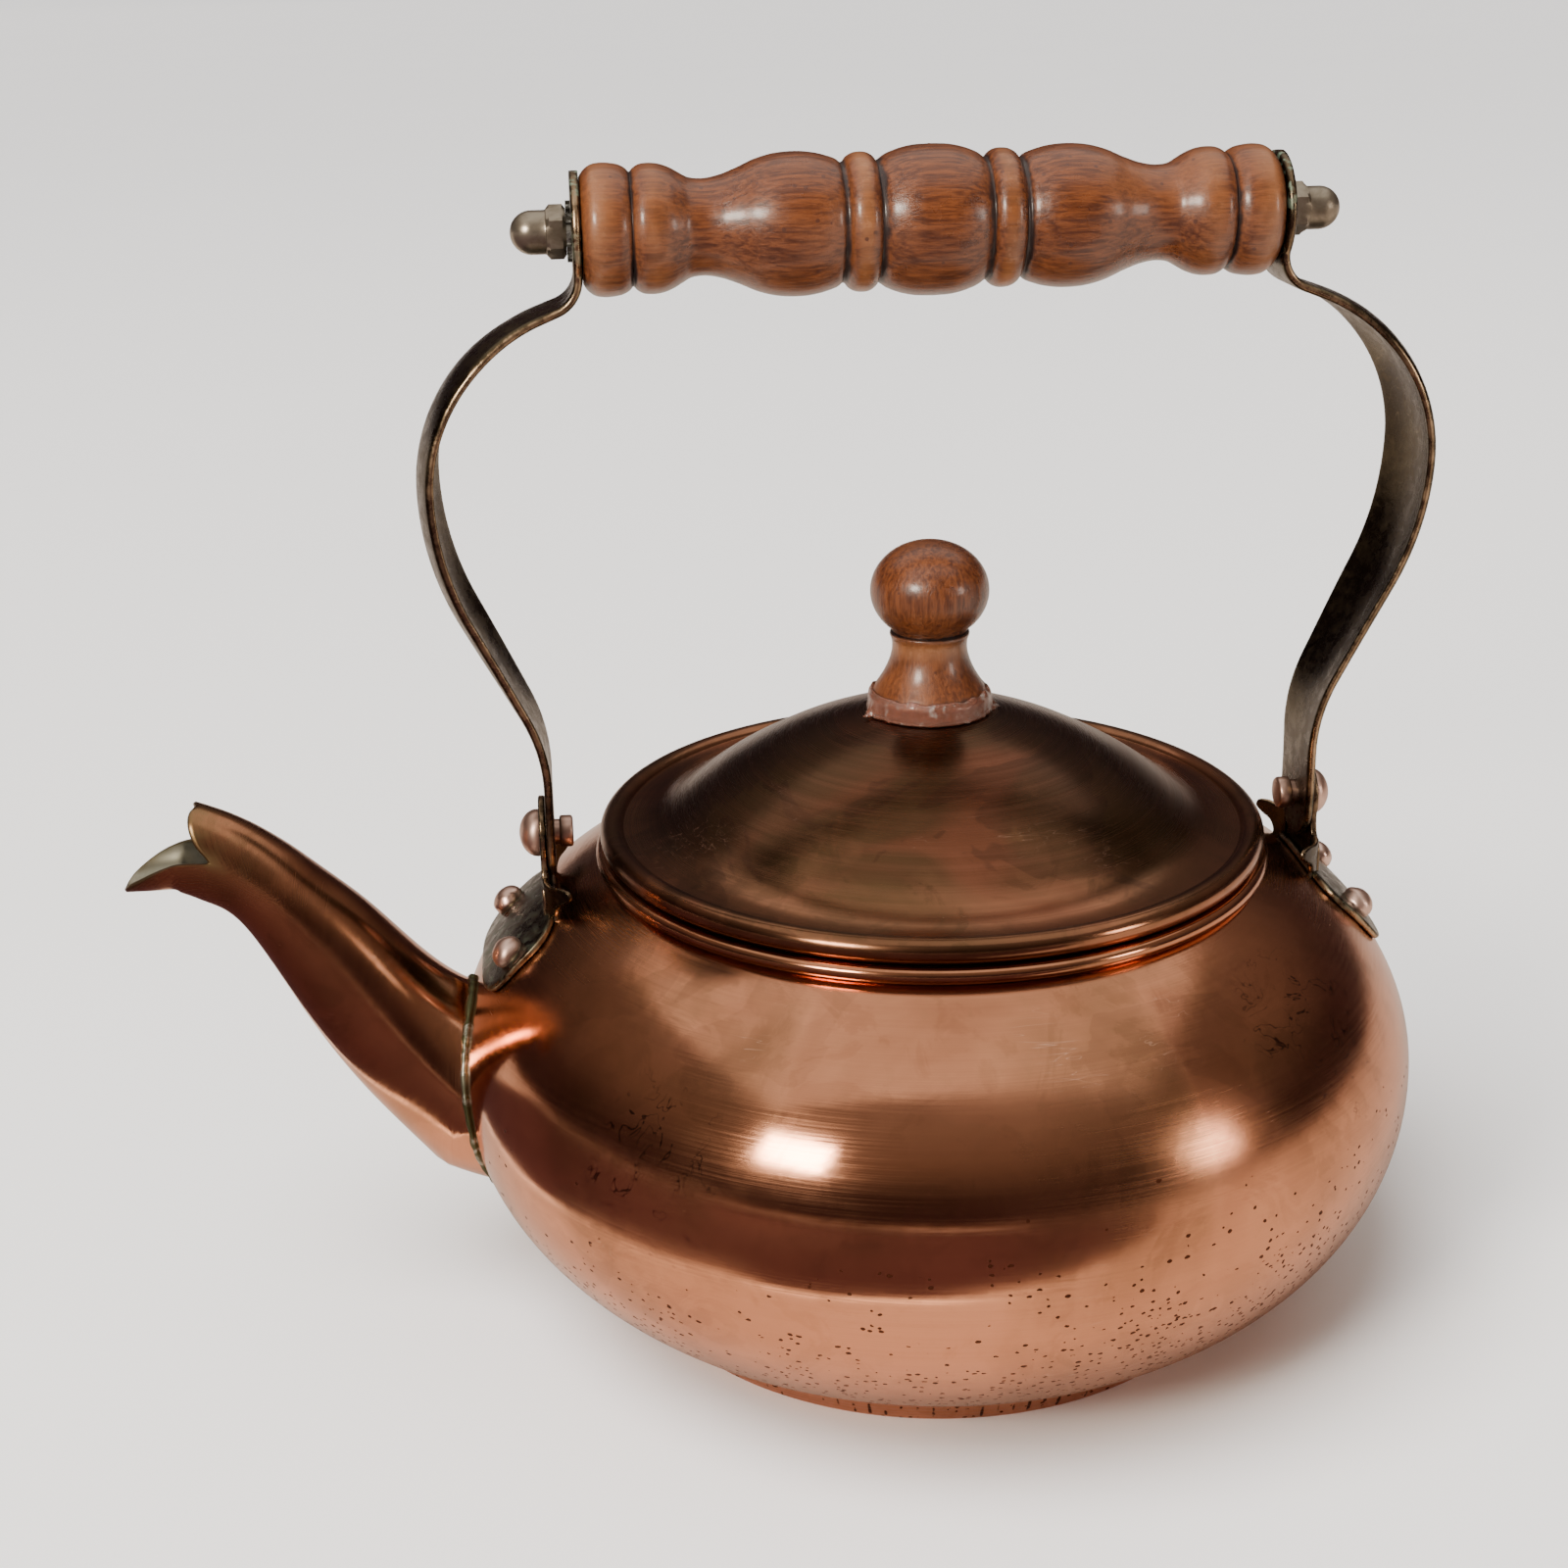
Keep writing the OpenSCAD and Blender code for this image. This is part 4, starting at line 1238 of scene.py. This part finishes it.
        sunk = np.interp(line[:, 0], even, mean - radius)
        profile = np.vstack([line[:, ::-1], [[self.rod + 0.06, self.grip_half],
                                             [self.rod + 0.06, -self.grip_half]]])
        pad = np.zeros(2)
        # The cavity mask carries painted shade into the grooves; the crest mask marks beads rubbed pale.
        return spun(profile, Axis.X, Ends.RING, 192, masks={
            "cavity": np.append(np.clip((sunk - 0.35) / 0.8, 0, 1), pad),
            "crest": np.append(np.clip((-sunk - 0.22) / 0.75, 0, 1), pad)},
        ).moved(np.eye(3), np.array([0, 0, self.grip_height]))


# ---------------------------------------------------------------- lid

@dataclass
class Lid:
    """Domed lid with a rolled bead, its turned knob and the glue round the knob's foot; sizes in mm."""

    rim: float
    neck: float = 58.4
    rise: float = 24.4
    bead: float = 2.3
    sheet: float = 0.8
    ball: float = 10.8
    knob_height: float = 31.5

    def dome(self) -> Shell:
        """Sheet and bead: crown, slope and flange, then round the bead and back under the sheet."""
        middle = (self.neck + 0.9, self.rim + 0.05 + self.bead)
        curve = np.array([[0.17, 1], [0.27, 0.945], [0.37, 0.865], [0.47, 0.765], [0.57, 0.64],
                          [0.655, 0.52],
                          [0.725, 0.405], [0.785, 0.3], [0.835, 0.222], [0.885, 0.172], [0.935, 0.147],
                          [0.965, 0.14]])
        crown = np.array([[0.3, self.rim + self.rise], [5.0, self.rim + self.rise]])
        slope = curve * [middle[0], self.rise] + [0, self.rim]
        upper = smooth_line(np.vstack([crown, slope]), 125)
        under = upper[::-1] - np.clip(upper[::-1, :1] / 20, 0, 1) * [0.2, 0] - [0, self.sheet]
        return spun(np.vstack([upper, arc(middle, self.bead, 151, -170, 56), under[3:]]), Axis.Z, Ends.HUBS,
                    288)

    def knob(self) -> Shell:
        """Knob: a foot, a waist, a small shoulder and an oval ball, spun about Z."""
        base = self.rim + self.rise + 0.05
        ball, high = self.ball, self.knob_height
        flat = 0.843 * ball
        stem = np.array([[0.98, 0.0], [1.015, 0.012], [1.02, 0.05], [1.02, 0.088], [0.99, 0.108],
                         [0.963, 0.118],
                         [0.935, 0.135], [0.86, 0.175], [0.778, 0.222], [0.70, 0.28], [0.65, 0.335],
                         [0.634, 0.381],
                         [0.645, 0.425], [0.672, 0.452], [0.672, 0.463], [0.63, 0.472]])
        top = arc((0.0, high - flat), ball, -47, 87, 70, flat)
        stem = smooth_line(stem * [ball, high], 70)
        profile = np.vstack([[[0.3, 0.0], [9.0, 0.0]], stem, top]) + [0, base]
        level = (profile[:, 1] - base) / high
        # The cavity rings, in the crevice under the ball and above the foot bead, carry painted shade; the
        # pale rings are rubbed wood.
        dark = np.exp(-((level - 0.475) / 0.014) ** 2) + 0.55 * np.exp(-((level - 0.112) / 0.02) ** 2)
        pale = 0.8 * np.exp(-((level - 0.40) / 0.05) ** 2) + 0.6 * np.exp(-((level - 0.06) / 0.04) ** 2)
        return spun(profile, Axis.Z, Ends.HUBS, 192, masks={"cavity": dark, "crest": pale})

    def film(self) -> Shell:
        """Glue left round the foot: a thin collar whose thickness, height and spread are uneven, with a
        few ragged tongues lying on the lid."""
        base = self.rim + self.rise
        turns = 240
        angle = circle(turns)[None, :]
        share = np.linspace(0, 1, 14)[:, None]
        spread = 0.55 + 0.45 * ripple(61, 0 * share, angle, 12, 46)
        tongue = (2.2 * np.exp(-((angle - np.radians(196)) / 0.13) ** 2)
                  + 1.6 * np.exp(-((angle - 6.1) / 0.10) ** 2))
        tall = 3.9 + 0.35 * ripple(62, 0 * share, angle, 8, 20)
        knob_foot, clear = 11.05, 0.25
        foot = (knob_foot + clear
                + (0.5 * spread + tongue * (0.6 + 0.4 * np.sin(angle * 37))) * (1 - share) ** 3)
        height = base + 0.06 + tall * share
        outer = foot - 0.62 * np.clip((share - 0.75) / 0.25, 0, 1)
        inner = np.full_like(outer, 10.9) - 0.55 * np.clip((share - 0.75) / 0.25, 0, 1)
        rows = [np.stack([r * np.cos(angle), r * np.sin(angle), z], -1)
                for r, z in ((outer, height), (inner[::-1], height[::-1]))]
        return loft(np.concatenate(rows), Ends.RING)


# ---------------------------------------------------------------- studio

@dataclass
class Studio:
    """Floor, soft lights, surroundings and camera. Lengths are in metres, angles in degrees."""

    azimuth: float = -5.228
    elevation: float = 19.595
    roll: float = -1.2
    lens: float = 53.15
    shift: Pair = (0.0041, -0.0232)
    offset: Triple = (0.030231, 0.099376, 0.464979)

    def floor(self) -> None:
        """Lays a wide plain floor just under the kettle."""
        size = 30.0
        mesh = bpy.data.meshes.new("floor")
        mesh.from_pydata([(-size, -size, 0), (size, -size, 0), (size, size, 0), (-size, size, 0)], [],
                         [(0, 1, 2, 3)])
        mesh.materials.append(GroundFinish("pale_floor").made())
        ground = placed("floor", mesh)

    def sheet(self, name: str, colour: Colour, lift: float, edge: tuple[Pair, ...]) -> None:
        """Lays a flat cloth on the floor that only the polish mirrors: it is hidden from the camera, from
        diffuse light and from shadows.

        Args:
            name: name of the cloth.
            colour: its colour.
            lift: height above the floor.
            edge: corners on the floor.
        """
        mesh = bpy.data.meshes.new(name)
        mesh.from_pydata([(x, y, lift) for x, y in edge], [], [tuple(range(len(edge)))])
        mesh.materials.append(Graph(name).finished(Base_Color=colour, Roughness=0.9))
        cloth = placed(name, mesh)
        cloth.visible_camera = cloth.visible_diffuse = cloth.visible_shadow = False

    def lamp(self, name: str, spot: Triple, size: Pair, watts: float, tint: Colour) -> None:
        """Hangs a soft box that faces the kettle.

        Args:
            name: name of the lamp.
            spot: where it hangs.
            size: width and height.
            watts: power.
            tint: colour.
        """
        data = bpy.data.lights.new(name, "AREA")
        data.shape, data.size, data.size_y = "RECTANGLE", *size
        data.energy, data.color = watts, tint
        lamp = placed(name, data)
        aim = Vector((0, 0, 0.09)) - Vector(spot)
        lamp.location = spot
        lamp.rotation_euler = aim.to_track_quat("-Z", "Y").to_euler()

    def surroundings(self) -> None:
        """Room: pale as a backdrop, and dim and warm with a lighter ceiling for everything it lights."""
        world = bpy.data.worlds.new("room")
        bpy.context.scene.world = world
        world.use_nodes = True
        nodes, links = world.node_tree.nodes, world.node_tree.links
        nodes.clear()
        place = nodes.new("ShaderNodeTexCoord").outputs["Generated"]
        split = nodes.new("ShaderNodeSeparateXYZ")
        links.new(place, split.inputs[0])
        ramp = nodes.new("ShaderNodeValToRGB")
        links.new(split.outputs[2], ramp.inputs[0])
        ramp.color_ramp.elements[0].position = 0.0
        ramp.color_ramp.elements[0].color = (0.19, 0.105, 0.065, 1)
        ramp.color_ramp.elements[1].position = 1.0
        ramp.color_ramp.elements[1].color = (0.34, 0.30, 0.27, 1)
        for at, colour in ((0.05, (0.036, 0.020, 0.022, 1)), (0.28, (0.060, 0.038, 0.036, 1)),
                           (0.55, (0.20, 0.155, 0.130, 1))):
            ramp.color_ramp.elements.new(at).color = colour
        dim = nodes.new("ShaderNodeBackground")
        links.new(ramp.outputs[0], dim.inputs[0])
        pale = nodes.new("ShaderNodeBackground")
        pale.inputs[0].default_value = (0.95, 0.945, 0.94, 1)
        pale.inputs[1].default_value = 1.2
        pick = nodes.new("ShaderNodeMixShader")
        links.new(nodes.new("ShaderNodeLightPath").outputs["Is Camera Ray"], pick.inputs[0])
        links.new(dim.outputs[0], pick.inputs[1])
        links.new(pale.outputs[0], pick.inputs[2])
        links.new(pick.outputs[0], nodes.new("ShaderNodeOutputWorld").inputs[0])

    def camera(self) -> None:
        """Sets the camera. Its rotation is a roll after a tilt after a turn about Z, and its place is
        the offset of the origin, seen from it, carried back through that rotation."""
        turn = Matrix.Rotation(math.radians(-self.azimuth), 3, "Z")
        lean = math.radians(self.elevation)
        tilt = Matrix(((1, 0, 0), (0, -math.sin(lean), -math.cos(lean)),
                       (0, math.cos(lean), -math.sin(lean))))
        roll = Matrix.Rotation(math.radians(self.roll), 3, "Z")
        look = roll @ tilt @ turn
        frame_axes = (Matrix(((1, 0, 0), (0, -1, 0), (0, 0, -1))) @ look).transposed()
        data = bpy.data.cameras.new("view")
        data.lens, data.sensor_width = self.lens, 36.0
        data.shift_x, data.shift_y = self.shift
        data.clip_start, data.clip_end = 0.01, 100
        camera = placed("view", data)
        camera.matrix_world = frame_axes.to_4x4()
        camera.location = -(look.transposed() @ Vector(self.offset))
        bpy.context.scene.camera = camera

    def build(self) -> None:
        """Sets up floor, lights, surroundings and camera."""
        self.camera()
        self.floor()
        self.surroundings()
        self.lamp("key", (-0.62, -0.72, 0.62), (0.26, 0.22), 9, (1.0, 0.90, 0.78))
        self.lamp("fill", (0.95, -0.65, 0.40), (0.22, 0.30), 2.2, (1.0, 0.88, 0.78))
        self.lamp("ceiling", (0.0, 0.2, 1.6), (2.6, 2.2), 14, (1.0, 0.96, 0.90))
        sun = bpy.data.lights.new("wash", "SUN")
        sun.energy, sun.angle = 4.7, math.radians(40)
        wash = placed("wash", sun)
        wash.rotation_euler = (math.radians(18), math.radians(-24), 0)
        wash.visible_glossy = False
        self.sheet("tan_cloth", (0.47, 0.40, 0.345), 0.0004, ((-9, -9), (9, -9), (9, 9), (-9, 9)))
        edge = np.array([(0.42, -0.50), (0.12, -0.205), (0.04, -0.160), (-0.04, -0.138), (-0.10, -0.105),
                         (-0.135, -0.055), (-0.150, 0.02), (-0.17, 0.12)])
        for name, colour, lift, size in (("hem", (0.95, 0.86, 0.74), 0.0006, 0.965),
                                         ("dark_cloth", (0.045, 0.020, 0.024), 0.0008, 1.0)):
            near = tuple((float(x), float(y)) for x, y in edge * size)
            self.sheet(name, colour, lift, ((-2.6, -2.6), (1.3, -2.6), *near, (-2.6, 0.9)))


def dressed(node: str, finish: bpy.types.Material) -> None:
    """Gives a node of the frame a finish in every material slot it has."""
    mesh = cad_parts[node].data
    if not mesh.materials:
        mesh.materials.append(finish)
    for number in range(len(mesh.materials)):
        mesh.materials[number] = finish
    log.info("%s: keeps its own shape", node)


def main() -> None:
    """Builds every piece of the kettle and the studio round it."""
    logging.basicConfig(level=logging.INFO)
    Studio().build()
    bowl = Bowl()
    pins_low, pins_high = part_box("pivot_pins")
    grip_low, grip_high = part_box("handle_grip")
    pivot = (70.65, (pins_low.z + pins_high.z) / 2 / MM)
    bail = Bail(pivot, (grip_low.z + grip_high.z) / 2 / MM)
    bracket, spout, lid = Bracket(bowl, pivot), Gooseneck(bowl), Lid(bowl.rim)

    body_copper = CopperFinish("body_copper", specks=0.9, stains=1.0, lined=True).made()
    foot_copper = CopperFinish("foot_copper", bright=(0.80, 0.40, 0.27), tarnish=(0.0, 0.1), gloss=0.3,
                               specks=0.3, crimped=True).made()
    spout_copper = CopperFinish("spout_copper", tarnish=(0.1, 0.65), heights=(0.045, 0.098),
                                lined=True).made()
    lid_copper = CopperFinish("lid_copper", bright=(0.62, 0.27, 0.15), brown=(0.105, 0.053, 0.027),
                              tarnish=(0.45, 1.0), heights=(0.090, 0.098), gloss=0.12, blotches=0.5).made()
    rivet_copper = CopperFinish("rivet_copper", bright=(0.88, 0.64, 0.54), tarnish=(0.05, 0.25), gloss=0.30,
                                heights=(0.08, 0.1)).made()
    patina = PatinaFinish("brass_patina").made()
    near_black = PatinaFinish("bracket_patina", dark=(0.030, 0.022, 0.014), olive=(0.075, 0.058, 0.036)).made()
    nickel = GreyFinish("nickel", (0.36, 0.31, 0.24), (0.20, 0.165, 0.12), scale=120).made()
    steel = GreyFinish("toothed_steel", (0.85, 0.85, 0.80), (0.06, 0.055, 0.045), 0.4, scale=700,
                       low=0.5).made()
    solder = GreyFinish("solder", (0.55, 0.54, 0.46), (0.085, 0.085, 0.040), 0.35, 0.0002, 300, 0.5).made()
    wood_x = WoodFinish("grip_wood", (130, 1500, 1500)).made()
    wood_z = WoodFinish("knob_wood", (1500, 1500, 150)).made()

    shell = built("spun_body", bowl.shell(), body_copper, "kettle", ("body_shell",))
    drilled(shell, [bowl.hole_cutter()])
    built("crimped_foot", bowl.pan(), foot_copper, "kettle", ("base_pan",))
    built("neck_ring", bowl.ring(), body_copper, "kettle", ("neck_collar",))
    built("gooseneck", spout.tube(), spout_copper, "kettle", ("spout_tube",), 60)
    built("root_solder", spout.solder(), solder, "kettle", ("spout_solder",), 180)
    half_turn = np.diag([-1.0, 1.0, 1.0])
    built("bracket_back", bracket.whole(), near_black, "kettle", ("bracket_rear",), 50)
    built("bracket_spout_side", bracket.whole().moved(half_turn, np.zeros(3)), near_black, "kettle",
          ("bracket_front",), 50)
    built("shoulder_rivets", bracket.rivets(), rivet_copper, "kettle", ("bracket_rivets",),
          60)
    built("ear_pins", bracket.pins(), rivet_copper, "kettle", ("pivot_pins",), 60)
    for side, name, node in ((1, "strap_back", "strap_rear"), (-1, "strap_spout_side", "strap_front")):
        strap = built(name, bail.strap(side), patina, "bail", (node,), 60)
        drilled(strap, bail.holes(side))
    built("acorn_nuts", bail.nuts(), nickel, "bail", ("cap_nuts",), 25)
    built("turned_grip", bail.grip(), wood_x, "grip", ("handle_grip",), 60)
    built("lid_dome", lid.dome(), lid_copper, "lid", ("lid_shell",))
    built("turned_knob", lid.knob(), wood_z, "lid", ("lid_knob",), 60)
    built("knob_glue", lid.film(), FilmFinish("glue_film").made(), "lid", (), 180)
    dressed("tie_rod", nickel)
    dressed("lock_washers", steel)
    dressed("lid_skirt", lid_copper)
    dressed("knob_washer", nickel)
    dressed("knob_screw", nickel)


if __name__ == "__main__":
    main()
